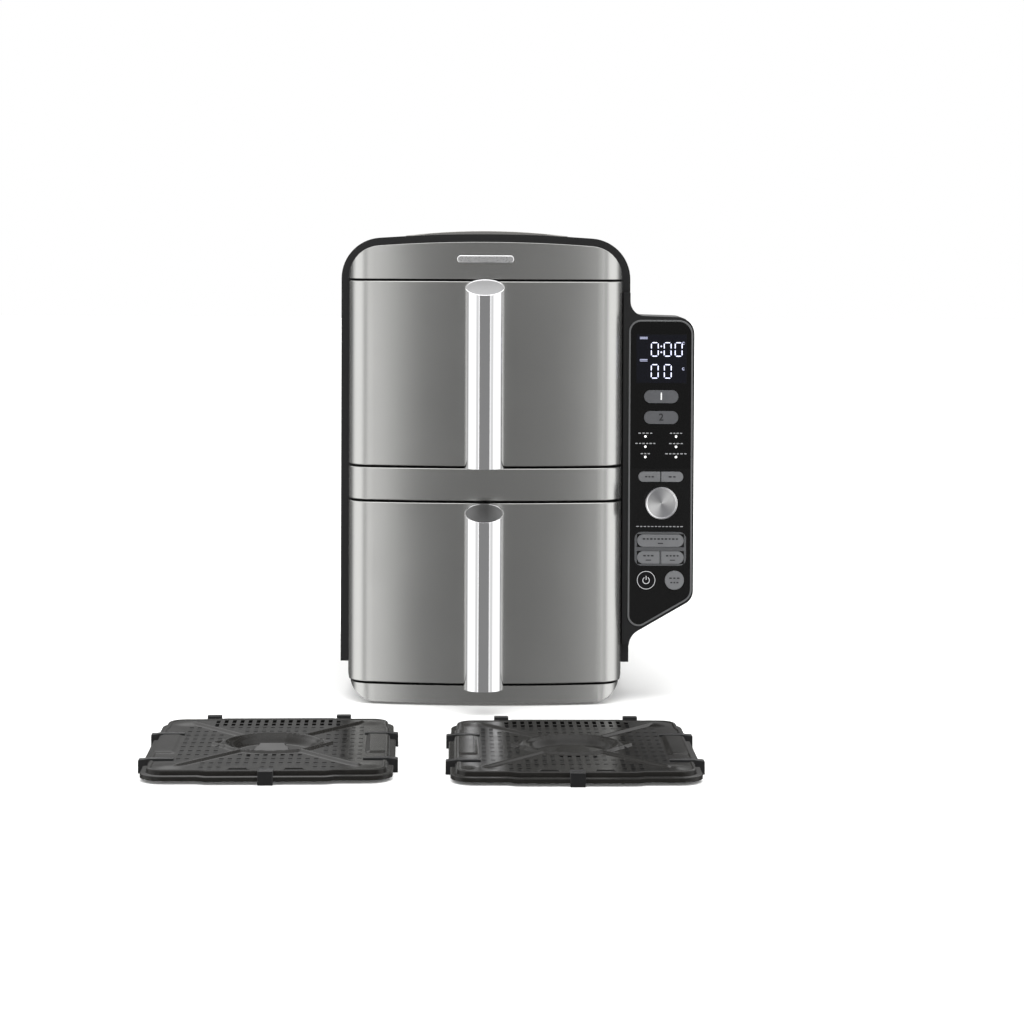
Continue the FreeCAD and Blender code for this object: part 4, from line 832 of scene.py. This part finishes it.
# the lit bars of a zero: their middles as shares of its width and height, and whether they stand upright
SEGMENTS = {"top": (0.5, 1.0, 0), "upper_left": (0.0, 0.75, 1), "upper_right": (1.0, 0.75, 1),
            "lower_left": (0.0, 0.25, 1), "lower_right": (1.0, 0.25, 1), "bottom": (0.5, 0.0, 0)}
SEGMENT_THICK, SEGMENT_GAP, LIT_PROUD = 0.85, 1.3, 0.1
DIGIT_WIDE, DIGIT_TALL = 5.6, 11.0
DIGIT_ROWS = ((283.4, (-8.3, 2.2, 11.2)), (265.4, (-8.3, 2.4)))      # each row's foot and its digits' left sides
COLON_ACROSS, COLON_HEIGHTS, COLON_SIZE = -0.2, (286.6, 291.4), 1.3
HEADING_ACROSS, HEADING_ROWS, HEADING_WIDE = -14.6, (297.6, 279.4), 6.4
UNIT_ACROSS, UNIT_HEIGHT, UNIT_STEP = 18.0, 294.0, 21


def segment(name, across, height, size, upright):
    """One lit bar of a digit, pointed at both ends."""
    bar = flat_bar(name, across, height, size, SEGMENT_THICK, LIT_PROUD, round_end=False)
    with editing(bar):
        pick("EDGE", runs_back)
        bpy.ops.mesh.bevel(offset=SEGMENT_THICK * 0.42 * MM, segments=1)
        if upright:
            pick_all()
            turn(90, "Y", panel_spot(across, height, LIT_PROUD))
    return bar


def zero_digit(name, left, low):
    """A zero of six lit bars."""
    bars = []
    for part, (u, v, upright) in SEGMENTS.items():
        size = (DIGIT_TALL / 2 if upright else DIGIT_WIDE) - SEGMENT_GAP
        bars.append(segment(name + part, left + u * DIGIT_WIDE, low + v * DIGIT_TALL, size, upright))
    return bars


class AIRFRYER_OT_display(bpy.types.Operator):
    """Adds the lit digits, their colon and the small marks beside them"""
    bl_idname = "air_fryer.display"
    bl_label = "Display digits"

    def execute(self, context):
        bars = []
        for row, (low, lefts) in enumerate(DIGIT_ROWS):
            for column, left in enumerate(lefts):
                bars += zero_digit(f"digit_{row}_{column}_", left, low)
        for height in COLON_HEIGHTS:
            bars.append(flat_bar("colon", COLON_ACROSS, height, COLON_SIZE, COLON_SIZE, LIT_PROUD))
        lit = ink_finish("led_white", "#D4D8F2", 0.75)
        place(joined("display_digits", bars), "root", [lit])
        marks = []
        for row, height in enumerate(HEADING_ROWS):
            for line in (height, height + 1.2):
                marks.append(flat_bar("heading", HEADING_ACROSS, line, HEADING_WIDE, 0.5, LIT_PROUD))
            marks.append(ring("unit_ring", UNIT_ACROSS, UNIT_HEIGHT - row * UNIT_STEP, radius=0.9, thick=0.45,
                              start=40, sweep=280, proud=LIT_PROUD))
        soft = ink_finish("led_soft", "#A7ABC6", 0.45)
        place(joined("display_marks", marks), "root", [soft])
        return {"FINISHED"}


PROGRAM_COLUMNS = (-12.8, 12.3)
PROGRAM_ROWS = (217.5, 209.1, 200.7)
PROGRAM_WIDTHS = ((12.5, 11.0), (17.5, 12.5), (8.5, 18.5))           # the labels over the lamps, row by row
LAMP_SIZE, LABEL_RISE = 1.9, 2.7
DASH_PITCH, LONG_DASH, SHORT_DASH = 2.9, 0.74, 0.62                  # the dashes' lengths are shares of their pitch


def word_marks(name, across, height, wide, tall):
    """A run of short dashes that stands where a label would be."""
    count = max(2, round(wide / DASH_PITCH))
    pitch = wide / count
    return [flat_bar(f"{name}_{index}", across + (index - (count - 1) / 2) * pitch, height,
                     pitch * (SHORT_DASH if index % 2 else LONG_DASH), tall) for index in range(count)]


class AIRFRYER_OT_marks(bpy.types.Operator):
    """Adds the printed marks of the panel, the six program lamps and the pad round the lower keys"""
    bl_idname = "air_fryer.marks"
    bl_label = "Panel marks"

    def execute(self, context):
        marks, lamps = [], []
        for height, widths in zip(PROGRAM_ROWS, PROGRAM_WIDTHS):
            for across, wide in zip(PROGRAM_COLUMNS, widths):
                lamps.append(flat_bar("lamp", across, height, LAMP_SIZE, LAMP_SIZE))
                marks += word_marks("program", across, height + LABEL_RISE, wide, 0.9)
        marks += word_marks("strip", -0.8, 143.6, 39.0, 0.8)
        ink = ink_finish("ink_grey", settings("finish").print_ink)
        place(joined("panel_print", marks), "root", [ink])
        lit = ink_finish("lamp_white", "#F4F4F2", 0.7)
        place(joined("program_lamps", lamps), "root", [lit])
        pad = block("lower_key_pad", panel_spot(-21.2, 111.4, 0.12), panel_spot(21.0, 139.2, -0.3))
        with editing(pad):
            pick("EDGE", runs_back)
            bpy.ops.mesh.bevel(offset=5.6 * MM, segments=8)
        aside, lap = 0.25 * MM, 0.95 * MM     # the gap beside a key, and how far the pad reaches in over and under it
        for key in ("pair", "sync", "match"):
            low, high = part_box(key + "_button")
            gap = block("gap", (low.x - aside, low.y - MM, low.z + lap), (high.x + aside, high.y, high.z - lap))
            cut_with(pad, gap, "DIFFERENCE")
        place(pad, "root", [key_finish("polycarbonate_group_pad", "#4A4B4D")])
        return {"FINISHED"}


KEY_RISE, KEY_PROUD = 0.4, 0.45           # how far keys, and the marks on them, stand proud of the panel
LABEL_TALL = 1.2
KEY_LABELS = {"temperature": (-9.35, 184.5, 8.0), "time": (9.35, 184.5, 7.0), "pair": (0, 133.4, 30.0),
              "sync": (-9.85, 119.6, 9.5), "match": (9.85, 119.6, 11.5)}


def digit(name, text, across, height, size):
    """A printed digit on a key."""
    bpy.ops.object.text_add()
    letter = bpy.context.object
    letter.data.body = text
    letter.data.size = size * MM
    letter.data.align_x = "CENTER"
    letter.data.align_y = "CENTER"
    letter.data.extrude = 0.05 * MM
    letter.data.offset = 0.12 * MM
    bpy.ops.object.convert(target="MESH")
    piece = bpy.context.object
    spot = panel_spot(across, height, KEY_PROUD)
    piece.data.transform(Matrix.Translation(spot) @ Matrix.Rotation(math.pi / 2, 4, "X"))
    piece.name = piece.data.name = name
    return piece


class AIRFRYER_OT_key_marks(bpy.types.Operator):
    """Adds the digits and signs printed on the keys; each rides on its own key"""
    bl_idname = "air_fryer.key_marks"
    bl_label = "Key marks"

    def execute(self, context):
        ink = ink_finish("ink_white", "#EDEDED")
        dark = ink_finish("ink_dark", "#1C1C1E")
        for key, text, finish in (("zone_1", "1", ink), ("zone_2", "2", dark)):
            low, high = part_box(key + "_button")
            mark = digit(key + "_digit", text, 0, (low.z + high.z) / 2 / MM, 8.2)
            place(mark, body_of(key + "_button"), [finish])
        for key, (across, height, wide) in KEY_LABELS.items():
            bars = word_marks(key, across, height, wide, LABEL_TALL)
            if key in ("pair", "sync", "match"):
                bars.append(flat_bar(key + "_lamp", across, height - 3.6, 4.5, 0.8))
            self.print_on_key(key, key + "_mark", bars, dark)
        sign = [ring("power_ring", -11.6, 99.5, radius=7.3, thick=0.45, proud=KEY_PROUD),
                ring("power_arc", -11.6, 99.3, radius=2.7, thick=0.55, start=120, sweep=300, proud=KEY_PROUD),
                flat_bar("power_bar", -11.6, 101.4, 0.6, 3.4, KEY_PROUD)]
        place(joined("power_sign", sign), body_of("power_button"), [ink_finish("ink_power", "#C9C9CB")])
        start = word_marks("start", 11.6, 101.2, 9.5, LABEL_TALL) + word_marks("stop", 11.6, 97.6, 7.5, LABEL_TALL)
        self.print_on_key("start", "start_sign", start, dark)
        return {"FINISHED"}

    def print_on_key(self, key, name, bars, finish):
        """Lifts marks from the panel's face to a key's and lets them ride on it."""
        for bar in bars:
            bar.data.transform(Matrix.Translation((0, -KEY_RISE * MM, 0)))
        place(joined(name, bars), body_of(key + "_button"), [finish])


# ---- drawers and machine

class AIRFRYER_OT_pans(bpy.types.Operator):
    """Adds the two non-stick pans with rolled rims"""
    bl_idname = "air_fryer.pans"
    bl_label = "Pans"

    def execute(self, context):
        for level in LEVELS:
            dress_node(level + "_pan", 0.7 * MM, non_stick_finish(), 3, 25)
        return {"FINISHED"}


class AIRFRYER_OT_machine(bpy.types.Operator):
    """Gives the cooking spaces, fans, heaters, motors and boards their finishes"""
    bl_idname = "air_fryer.machine"
    bl_label = "Inner parts"

    def execute(self, context):
        finishes = (
            (moulded_finish("abs_moulded_inner", "#202021", 0.5, 0.9, 0.04),
             ("upper_front_backing", "lower_front_backing", "encoder", "door_switches", "upper_cooling_fan",
              "lower_cooling_fan")),
            (sheet_finish(),
             ("upper_cavity", "lower_cavity", "divider_shelf", "fan_grilles", "drawer_runners", "motor_brackets")),
            (metal_finish("aluminium_stamped", "#B4B6B8", 0.33, 1.5), ("upper_fan", "lower_fan")),
            (metal_finish("heater_alloy_drawn", "#5A5248", 0.5, 0.8), ("heaters",)),
            (metal_finish("motor_steel_laminated", "#8B8D90", 0.4, 0.7), ("motors",)),
            (board_finish(), ("power_board", "control_board")),
            (plated_finish(), ("encoder_shaft",)),
        )
        for finish, cad_nodes in finishes:
            for cad_node in cad_nodes:
                slots = frame["nodes"][cad_node].data.materials
                slots.clear()
                slots.append(finish)
        return {"FINISHED"}


# ---- crisper plates

# These sizes are in millimetres. A point of the plate is (u, v) from its middle, v towards the back.
HALF_ACROSS, HALF_ALONG = 88.0, 106.0     # the outline
MIDDLE_OUT = 3.0                          # how far the middle stretch stands out at front and back
MIDDLE_HALF, MIDDLE_RUN = 42.0, 6.0       # half that stretch's width, and the slant at each end of it
WAIST, WAIST_END, WAIST_RUN = -1.5, 66.0, 8.0                        # the same for the sides; less than 0 stands out
LOBE = 17.0                               # radius of the corners
SKIRT_LOW, SKIRT_RISE = 2.4, 2.4          # the skirt's lower edge over the worktop, and the height of its foot
SKIRT_STEPS = ((0.25, 0.5), (0.5, 0.25), (2.9, 0.0), (0.35, 0.2), (0.4, 2.4), (0.5, 0.7), (0.8, 0.45),
               (1.1, 0.0), (0.8, -0.45), (0.9, -0.75))               # inwards and upwards: ledge, wall and bead
FIELD, FIELD_EDGE = 8.6, 6.8              # height of the perforated field, and how far it stays inside the outline
PITCH_ACROSS, PITCH_ALONG = 6.1, 15.0     # of the perforations
HOLE_CELLS_EACH_WAY = 4                   # grid cells from a perforation's middle to its end
RIB_LEAN = math.atan2(HALF_ALONG - 14, HALF_ACROSS - 17)             # the ribs run from the bowl to the corners
RIB_START, RIB_END, RIB_HALF = 2, HALF_ACROSS - 24, 3.6              # from the bowl's edge, and half a rib's width
BEAD_START, BEAD_END, BEAD_HALF = (1, 13), (10.5, 0), 2.6            # a pointed bead at each side of the bowl
RIM_OUT, RIM_HALF = 2.2, 3.0              # the bowl's rim
RIB_SHARE, BEAD_SHARE, RIM_SHARE = 1.5, 1.4, 1.5                     # their heights, as shares of the rib setting
RIB_CLEAR, BOWL_CLEAR = 7.0, 8            # how far perforations stay off the ribs and the bowl
SIDE_ROWS, SIDE_START, SIDE_END = 5, 38, HALF_ACROSS - 21            # the perforations beside the ribs
OUTER_END, OUTER_HALF = HALF_ALONG - 12, 46                          # the ones before and behind them
TAB_ROW, TAB_HOLES = 6, (9, 30)           # where tabs at the front leave none
# a low round boss near each corner, a raised step along each side, and two tabs at the front; a run is the width
# of the slope at an edge
BOSS, BOSS_RADIUS = (HALF_ACROSS - 20, HALF_ALONG - 23), 13.0
STEP, STEP_HALF, STEP_RISE, STEP_RUN = HALF_ACROSS - 20, 36, 1.1, 3
TAB_START, TAB_END, TAB_BACK, TAB_RISE, TAB_RUN = 12, 27, 12 - HALF_ALONG, 1.9, 1.6
BOWL_RUN = 7.5
TONGUE_WIDE, TONGUE_TIP, TONGUE_RUN = 19, 10, 1.5                    # half widths of the tongue over the bowl
TONGUE_END, TONGUE_RISE, TONGUE_TILT = 2, 2.0, 0.13
SIDE_BUMPERS, REAR_BUMPERS = (-61.0, 35.0), (-49.5, 49.5)            # their places along the sides and the back


def depth_inside(u, v):
    """How far a point lies inside the outline."""
    u, v = abs(u), abs(v)
    side = HALF_ACROSS - (WAIST if v < WAIST_END - WAIST_RUN / 2 else 0) - u
    end = HALF_ALONG - (MIDDLE_OUT if u > MIDDLE_HALF + MIDDLE_RUN / 2 else 0) - v
    if side < LOBE and end < LOBE:
        return LOBE - math.hypot(LOBE - side, LOBE - end)
    return min(side, end)


def ramp(*shares):
    """The smallest of some shares, kept between 0 and 1."""
    return max(0.0, min(1.0, *shares))


def smoothed(share):
    return share * share * (3 - 2 * share)


def ridge(distance, half_width):
    """A smooth ridge across a line: 1 on it and 0 from the half width on."""
    return smoothed(max(0.0, 1 - abs(distance) / half_width))


def from_line(u, v, start, end):
    """A point's distance from the line between two points."""
    run = (end[0] - start[0], end[1] - start[1])
    share = ramp(((u - start[0]) * run[0] + (v - start[1]) * run[1]) / (run[0] ** 2 + run[1] ** 2))
    return math.hypot(u - start[0] - share * run[0], v - start[1] - share * run[1])


def relief(u, v):
    """The pressed shape's height over the field."""
    sizes = settings("plate")
    bowl, depth, rib = sizes.bowl / MM, sizes.bowl_depth / MM, sizes.rib / MM
    across, along, reach = abs(u), abs(v), math.hypot(u, v)
    rib_start = ((bowl + RIB_START) * math.cos(RIB_LEAN), (bowl + RIB_START) * math.sin(RIB_LEAN))
    rib_end = (RIB_END, RIB_END * math.tan(RIB_LEAN))
    if reach < bowl:
        height = -depth * smoothed(min(1.0, (bowl - reach) / BOWL_RUN))
        if -bowl < v < 0:
            half = TONGUE_WIDE + (TONGUE_TIP - TONGUE_WIDE) * (v + bowl) / (bowl - TONGUE_END)
            tongue = ramp((half - across) / TONGUE_RUN, (-TONGUE_END - v) / TONGUE_RUN)
            height += (TONGUE_RISE + TONGUE_TILT * v - height) * tongue
        return height
    bead = from_line(across, along, (bowl + BEAD_START[0], BEAD_START[1]), (bowl + BEAD_END[0], BEAD_END[1]))
    boss = math.hypot(across - BOSS[0], along - BOSS[1])
    return max(
        0.0,
        RIB_SHARE * rib * ridge(from_line(across, along, rib_start, rib_end), RIB_HALF),
        BEAD_SHARE * rib * ridge(bead, BEAD_HALF),
        RIM_SHARE * rib * ridge(reach - bowl - RIM_OUT, RIM_HALF),
        STEP_RISE * ramp((across - STEP) / STEP_RUN) * ramp((STEP_HALF - along) / STEP_RUN),
        TAB_RISE * ramp((across - TAB_START) / TAB_RUN, (TAB_END - across) / TAB_RUN, (TAB_BACK - v) / TAB_RUN),
        ridge(boss, BOSS_RADIUS))


def is_hole(u, v):
    """Whether a grid cell lies in a perforation."""
    sizes = settings("plate")
    at_front = v < 0
    u, v = abs(u), abs(v)
    column, row = math.floor(u / PITCH_ACROSS), math.floor(v / PITCH_ALONG + 0.5)
    hole_u, hole_v = (column + 0.5) * PITCH_ACROSS, row * PITCH_ALONG
    half_across = sizes.hole_cells_across * sizes.cell_across / MM / 2
    half_along = HOLE_CELLS_EACH_WAY * sizes.cell_along / MM
    if abs(u - hole_u) > half_across or abs(v - hole_v) > half_along:
        return False
    off_rib = hole_u * math.sin(RIB_LEAN) - hole_v * math.cos(RIB_LEAN)
    off_bowl = math.hypot(hole_u, hole_v) > sizes.bowl / MM + BOWL_CLEAR
    beside = off_rib > RIB_CLEAR and row < SIDE_ROWS and SIDE_START < hole_u < SIDE_END
    before = off_rib < -RIB_CLEAR and hole_v < OUTER_END and hole_u < OUTER_HALF
    under_tab = at_front and row == TAB_ROW and TAB_HOLES[0] < hole_u < TAB_HOLES[1]
    return off_bowl and (beside or before) and not under_tab


def plate_field(name):
    """The perforated sheet with its ribs and bowl, pressed from a fine grid."""
    sizes = settings("plate")
    across = round(2 * HALF_ACROSS * MM / sizes.cell_across)
    along = round(2 * HALF_ALONG * MM / sizes.cell_along)
    across += across % 2                  # even, so that a line of the grid runs through the middle
    along += along % 2
    bpy.ops.mesh.primitive_grid_add(x_subdivisions=across, y_subdivisions=along, size=1, location=(0, 0, 0))
    piece = settled(name)
    with editing(piece):
        pick_all()
        bpy.ops.transform.resize(value=(across * sizes.cell_across, along * sizes.cell_along, 1))
    heights = [relief(v.co.x / MM, v.co.y / MM) for v in piece.data.vertices]
    lowest, highest = min(heights), max(heights)
    group = piece.vertex_groups.new(name="relief")
    for index, height in enumerate(heights):
        group.add([index], (height - lowest) / (highest - lowest), "REPLACE")
    with editing(piece):
        pick("FACE", lambda f: is_hole(middle(f).x / MM, middle(f).y / MM)
             or depth_inside(middle(f).x / MM, middle(f).y / MM) < FIELD_EDGE)
        bpy.ops.mesh.delete(type="FACE")
    modify(piece, "DISPLACE", direction="Z", mid_level=0, strength=(highest - lowest) * MM, vertex_group="relief")
    piece.vertex_groups.clear()
    piece.data.transform(Matrix.Translation((0, 0, (FIELD + lowest) * MM)))
    return modify(piece, "SOLIDIFY", thickness=sizes.sheet, offset=-1)


def plate_skirt(name):
    """The stepped skirt with its bead, worked up from the outline by insets."""
    bpy.ops.mesh.primitive_plane_add(size=1, location=(0, 0, SKIRT_LOW * MM))
    piece = settled(name)
    with editing(piece):
        pick_all()
        bpy.ops.transform.resize(value=(2 * HALF_ACROSS * MM, 2 * (HALF_ALONG - MIDDLE_OUT) * MM, 1))
        bpy.ops.mesh.bevel(offset=LOBE * MM, segments=10, affect="VERTICES")
        for normal, cuts in (((1, 0, 0), (MIDDLE_HALF, MIDDLE_HALF + MIDDLE_RUN)),
                             ((0, 1, 0), (WAIST_END, WAIST_END - WAIST_RUN))):
            for cut in cuts:
                for side in (-1, 1):
                    pick_all()
                    bpy.ops.mesh.bisect(plane_co=[side * cut * MM * n for n in normal], plane_no=normal)
        for side in (-1, 1):
            pick("VERT", lambda v: side * v.co.y > (HALF_ALONG - MIDDLE_OUT - 0.1) * MM
                 and abs(v.co.x) < (MIDDLE_HALF + 0.1) * MM)
            move(0, side * MIDDLE_OUT * MM, 0)
            pick("VERT", lambda v: side * v.co.x > (HALF_ACROSS - 0.1) * MM
                 and abs(v.co.y) < (WAIST_END - WAIST_RUN + 0.1) * MM)
            move(-side * WAIST * MM, 0, 0)
        pick_all()
        extrude(0, 0, SKIRT_RISE * MM)
        for inward, upward in SKIRT_STEPS:
            inset(inward * MM, upward * MM)
        bpy.ops.mesh.delete(type="FACE")
    return modify(piece, "SOLIDIFY", thickness=settings("plate").sheet, offset=-1)


def side_bumper(name, along):
    """A silicone bar on the plate whose foot turns down over the right-hand edge."""
    tip, reach, half, foot = 91.5, 25.0, 3.5, 7          # in millimetres, as all the bumpers' sizes
    low, high = 7.6, 10.6
    dent_rim, dent, slope = 0.8, 0.6, 1.2
    bar = block(name, ((tip - reach) * MM, (along - half) * MM, low * MM), (tip * MM, (along + half) * MM, high * MM))
    with editing(bar):
        pick("FACE", lambda f: f.normal.x < -0.9)
        bpy.ops.transform.resize(value=(1, 0.55, 0.8))
        pick_all()
        bpy.ops.mesh.bisect(plane_co=((tip - foot) * MM, 0, 0), plane_no=(1, 0, 0))
        pick("FACE", lambda f: f.normal.z < -0.9 and middle(f).x > (tip - foot) * MM)
        extrude(0, 0, -low * MM)
        pick("FACE", lambda f: f.normal.z > 0.9 and middle(f).x > (tip - foot) * MM)
        inset(dent_rim * MM)
        move(0, 0, -dent * MM)
        pick("VERT", lambda v: v.co.x > (tip - 0.1) * MM and v.co.z > 9 * MM)
        move(0, 0, -slope * MM)
    return rounded(bar, 0.6 * MM, 3)


def end_bumper(name, across, half, rear):
    """A silicone clip at the front, or one that stands up at the back."""
    edge, inner, top = (108.0, 101.0, 11.0) if rear else (-108.0, -96.0, 10.0)
    top_rim, top_dent = 1.1, 0.7
    face_rim, face_dent = 1.2, 0.6
    low, high = min(edge, inner), max(edge, inner)
    clip = block(name, ((across - half) * MM, low * MM, 0), ((across + half) * MM, high * MM, top * MM))
    with editing(clip):
        pick("FACE", lambda f: f.normal.z > 0.9)
        inset(top_rim * MM, -top_dent * MM)
        pick("FACE", lambda f: f.normal.y * edge > 0 and abs(f.normal.y) > 0.9)
        inset(face_rim * MM, -face_dent * MM)
    return rounded(clip, 0.5 * MM, 3)


def facing_copy(piece, name):
    """A mirrored copy for the other side of the plate."""
    copy = copy_of(piece, name, Matrix.Scale(-1, 4, (1, 0, 0)))
    with editing(copy):
        pick_all()
        bpy.ops.mesh.normals_make_consistent(inside=False)
    return copy


class AIRFRYER_OT_plates(bpy.types.Operator):
    """Adds the two perforated crisper plates with their silicone bumpers"""
    bl_idname = "air_fryer.plates"
    bl_label = "Crisper plates"

    def execute(self, context):
        plate = joined("plate_master", [plate_field("plate_field"), plate_skirt("plate_skirt")])
        bumpers = []
        for along in SIDE_BUMPERS:
            bar = side_bumper("side_bumper", along)
            bumpers += [bar, facing_copy(bar, "side_bumper_facing")]
        bumpers += [end_bumper("rear_bumper", across, 5.5, True) for across in REAR_BUMPERS]
        bumpers.append(end_bumper("front_bumper", 0.0, 5.3, False))
        rubber = joined("bumper_master", bumpers)
        for side, yaw in PLATES.items():
            low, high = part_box(side + "_crisper_plate")
            spot = Matrix.Translation(((low.x + high.x) / 2, (low.y + high.y) / 2, 0))
            spot = spot @ Matrix.Rotation(math.radians(yaw), 4, "Z")
            body = side + "_plate"
            place(copy_of(plate, side + "_plate_pressed", spot), body, [non_stick_finish()],
                  [side + "_crisper_plate"], smooth=45)
            place(copy_of(rubber, side + "_bumpers_pressed", spot), body, [silicone_finish()],
                  [side + "_plate_bumpers"])
        for master in (plate, rubber):
            bpy.data.objects.remove(master)
        return {"FINISHED"}


# ---- stage

class AIRFRYER_OT_stage(bpy.types.Operator):
    """Adds the pale floor, the studio light and the camera"""
    bl_idname = "air_fryer.stage"
    bl_label = "Stage"

    def execute(self, context):
        stage = settings("stage")
        low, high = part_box("lower_drawer_front")
        centre = (low.x + high.x) / 2
        bpy.ops.mesh.primitive_plane_add(size=24, location=(0, 0, 0))
        floor = settled("floor")
        floor.data.materials.append(floor_finish())
        floor.visible_glossy = False
        self.stand_card(centre, low.y)
        for piece in bpy.data.objects:
            if piece.name.endswith(("_plate_pressed", "_bumpers_pressed")):
                piece.visible_glossy = False     # keeps the plates out of the handles' mirror

        camera = bpy.data.objects.new("camera", bpy.data.cameras.new("camera"))
        bpy.context.collection.objects.link(camera)
        camera.location = (centre + stage.aside, low.y - stage.distance, stage.eye)
        look = Matrix.Rotation(math.pi / 2 - stage.pitch, 3, "X") @ Matrix.Rotation(stage.roll, 3, "Z")
        camera.rotation_euler = look.to_euler()
        camera.data.sensor_width = 36
        camera.data.lens = stage.lens
        camera.data.shift_y = stage.shift
        camera.data.clip_end = 60
        context.scene.camera = camera

        # a softbox of 1.8 by 1.4 m hangs 2.1 m over the worktop
        lamp = bpy.data.lights.new("overhead_softbox", "AREA")
        lamp.energy = stage.key_power
        lamp.shape = "RECTANGLE"
        lamp.size, lamp.size_y = 1.8, 1.4
        softbox = bpy.data.objects.new("overhead_softbox", lamp)
        softbox.location = (0.1, -0.35, 2.1)
        bpy.context.collection.objects.link(softbox)
        self.light_room(context)
        context.scene.view_settings.view_transform = "Standard"
        return {"FINISHED"}

    def stand_card(self, centre, front):
        """A grey card close before the handles, met by reflections only: it draws their dark middle."""
        stage = settings("stage")
        tall, away, height = 0.75, 0.4, 0.225        # metres: the card's height, its gap and its middle's place
        bpy.ops.mesh.primitive_plane_add(size=1, location=(0, 0, 0))
        card = settled("grey_card")
        with editing(card):
            pick_all()
            bpy.ops.transform.resize(value=(2 * stage.card_half, tall, 1))
            bpy.ops.transform.rotate(value=math.pi / 2, orient_axis="X", center_override=(0, 0, 0))
            move(centre, front - away, height)
        card.data.materials.append(surface("card_grey_lit", "#050505", 0, 1, emission_color=linear("#FFFFFF"),
                                           emission_strength=stage.front_light))
        card.visible_camera = card.visible_diffuse = card.visible_transmission = card.visible_shadow = False

    def light_room(self, context):
        """A room with bright walls left and right, a darker one behind the camera and a bright ceiling."""
        stage = settings("stage")
        world = bpy.data.worlds.new("studio")
        context.scene.world = world
        world.use_nodes = True
        tree = world.node_tree
        background = tree.nodes["Background"]
        toward = node(tree, "SeparateXYZ", {0: node(tree, "TexCoord").outputs["Generated"]})
        across = node(tree, "MapRange", {0: toward.outputs["X"], 1: -1.0, 2: 1.0}).outputs[0]
        wall = node(tree, "ValToRGB", {0: across})
        front = stage.front_light / stage.side_light
        # from the left-hand wall over the front to the right-hand one: a place, and a share of the side light
        stops = ((0.07, 1.0), (0.13, 0.5), (0.19, 0.45), (0.23, 0.85), (0.285, 1.0), (0.333, 0.23),
                 (0.38, front * 1.15), (0.5, front), (0.66, front * 0.9),
                 (0.695, 0.24), (0.74, 0.69), (0.78, 0.69), (0.83, 0.45), (0.88, 0.5), (0.93, 1.0))
        elements = wall.color_ramp.elements
        while len(elements) < len(stops):
            elements.new(0.5)
        for element, (position, value) in zip(elements, stops):
            element.position = position
            element.color = (value, value, value, 1)
        walls = node(tree, "VectorMath", {0: wall.outputs[0], 3: stage.side_light}, operation="SCALE").outputs[0]
        # where one wall gives way to the next, as the y or z of the way to it
        behind = node(tree, "MapRange", {0: toward.outputs["Y"], 1: 0.1, 2: 0.5}).outputs[0]
        back = node(tree, "MapRange", {0: toward.outputs["Z"], 1: 0.2, 2: 0.4, 3: stage.back_light,
                                       4: stage.rim_light}).outputs[0]
        room = node(tree, "Mix", {0: behind, 6: walls, 7: back}, data_type="RGBA").outputs[2]
        above = node(tree, "MapRange", {0: toward.outputs["Z"], 1: 0.3, 2: 0.62}).outputs[0]
        sky = [stage.sky_light] * 3 + [1]
        room = node(tree, "Mix", {0: above, 6: room, 7: sky}, data_type="RGBA").outputs[2]
        seen = node(tree, "LightPath").outputs["Is Camera Ray"]
        shown = node(tree, "Mix", {0: seen, 6: room, 7: (1, 1, 1, 1)}, data_type="RGBA").outputs[2]
        tree.links.new(shown, background.inputs["Color"])


# ---- panel and registration

OPERATORS = (AIRFRYER_OT_fronts, AIRFRYER_OT_badge, AIRFRYER_OT_handles, AIRFRYER_OT_housing, AIRFRYER_OT_screws,
             AIRFRYER_OT_wing, AIRFRYER_OT_keys, AIRFRYER_OT_dial, AIRFRYER_OT_display, AIRFRYER_OT_marks,
             AIRFRYER_OT_key_marks, AIRFRYER_OT_pans, AIRFRYER_OT_machine, AIRFRYER_OT_plates, AIRFRYER_OT_stage)
GROUPS = {"housing": HousingSettings, "finish": FinishSettings, "plate": PlateSettings, "stage": StageSettings}


class AIRFRYER_PT_sidebar(bpy.types.Panel):
    """Lists the pieces of the air fryer"""
    bl_idname = "AIRFRYER_PT_sidebar"
    bl_label = "Air Fryer"
    bl_space_type = "VIEW_3D"
    bl_region_type = "UI"
    bl_category = "Air Fryer"

    def draw(self, context):
        for operator in OPERATORS:
            self.layout.operator(operator.bl_idname)
        for name, group in GROUPS.items():
            box = self.layout.box()
            for key in group.__annotations__:
                box.prop(settings(name), key)


def register():
    for group in GROUPS.values():
        bpy.utils.register_class(group)
    for name, group in GROUPS.items():
        setattr(bpy.types.Scene, "air_fryer_" + name, bpy.props.PointerProperty(type=group))
    for kind in OPERATORS + (AIRFRYER_PT_sidebar,):
        bpy.utils.register_class(kind)


def unregister():
    for kind in reversed(OPERATORS + (AIRFRYER_PT_sidebar,)):
        bpy.utils.unregister_class(kind)
    for name in GROUPS:
        delattr(bpy.types.Scene, "air_fryer_" + name)
    for group in reversed(list(GROUPS.values())):
        bpy.utils.unregister_class(group)


def main():
    register()
    for operator in OPERATORS:
        group, name = operator.bl_idname.split(".")
        getattr(getattr(bpy.ops, group), name)()


if __name__ == "__main__":
    main()
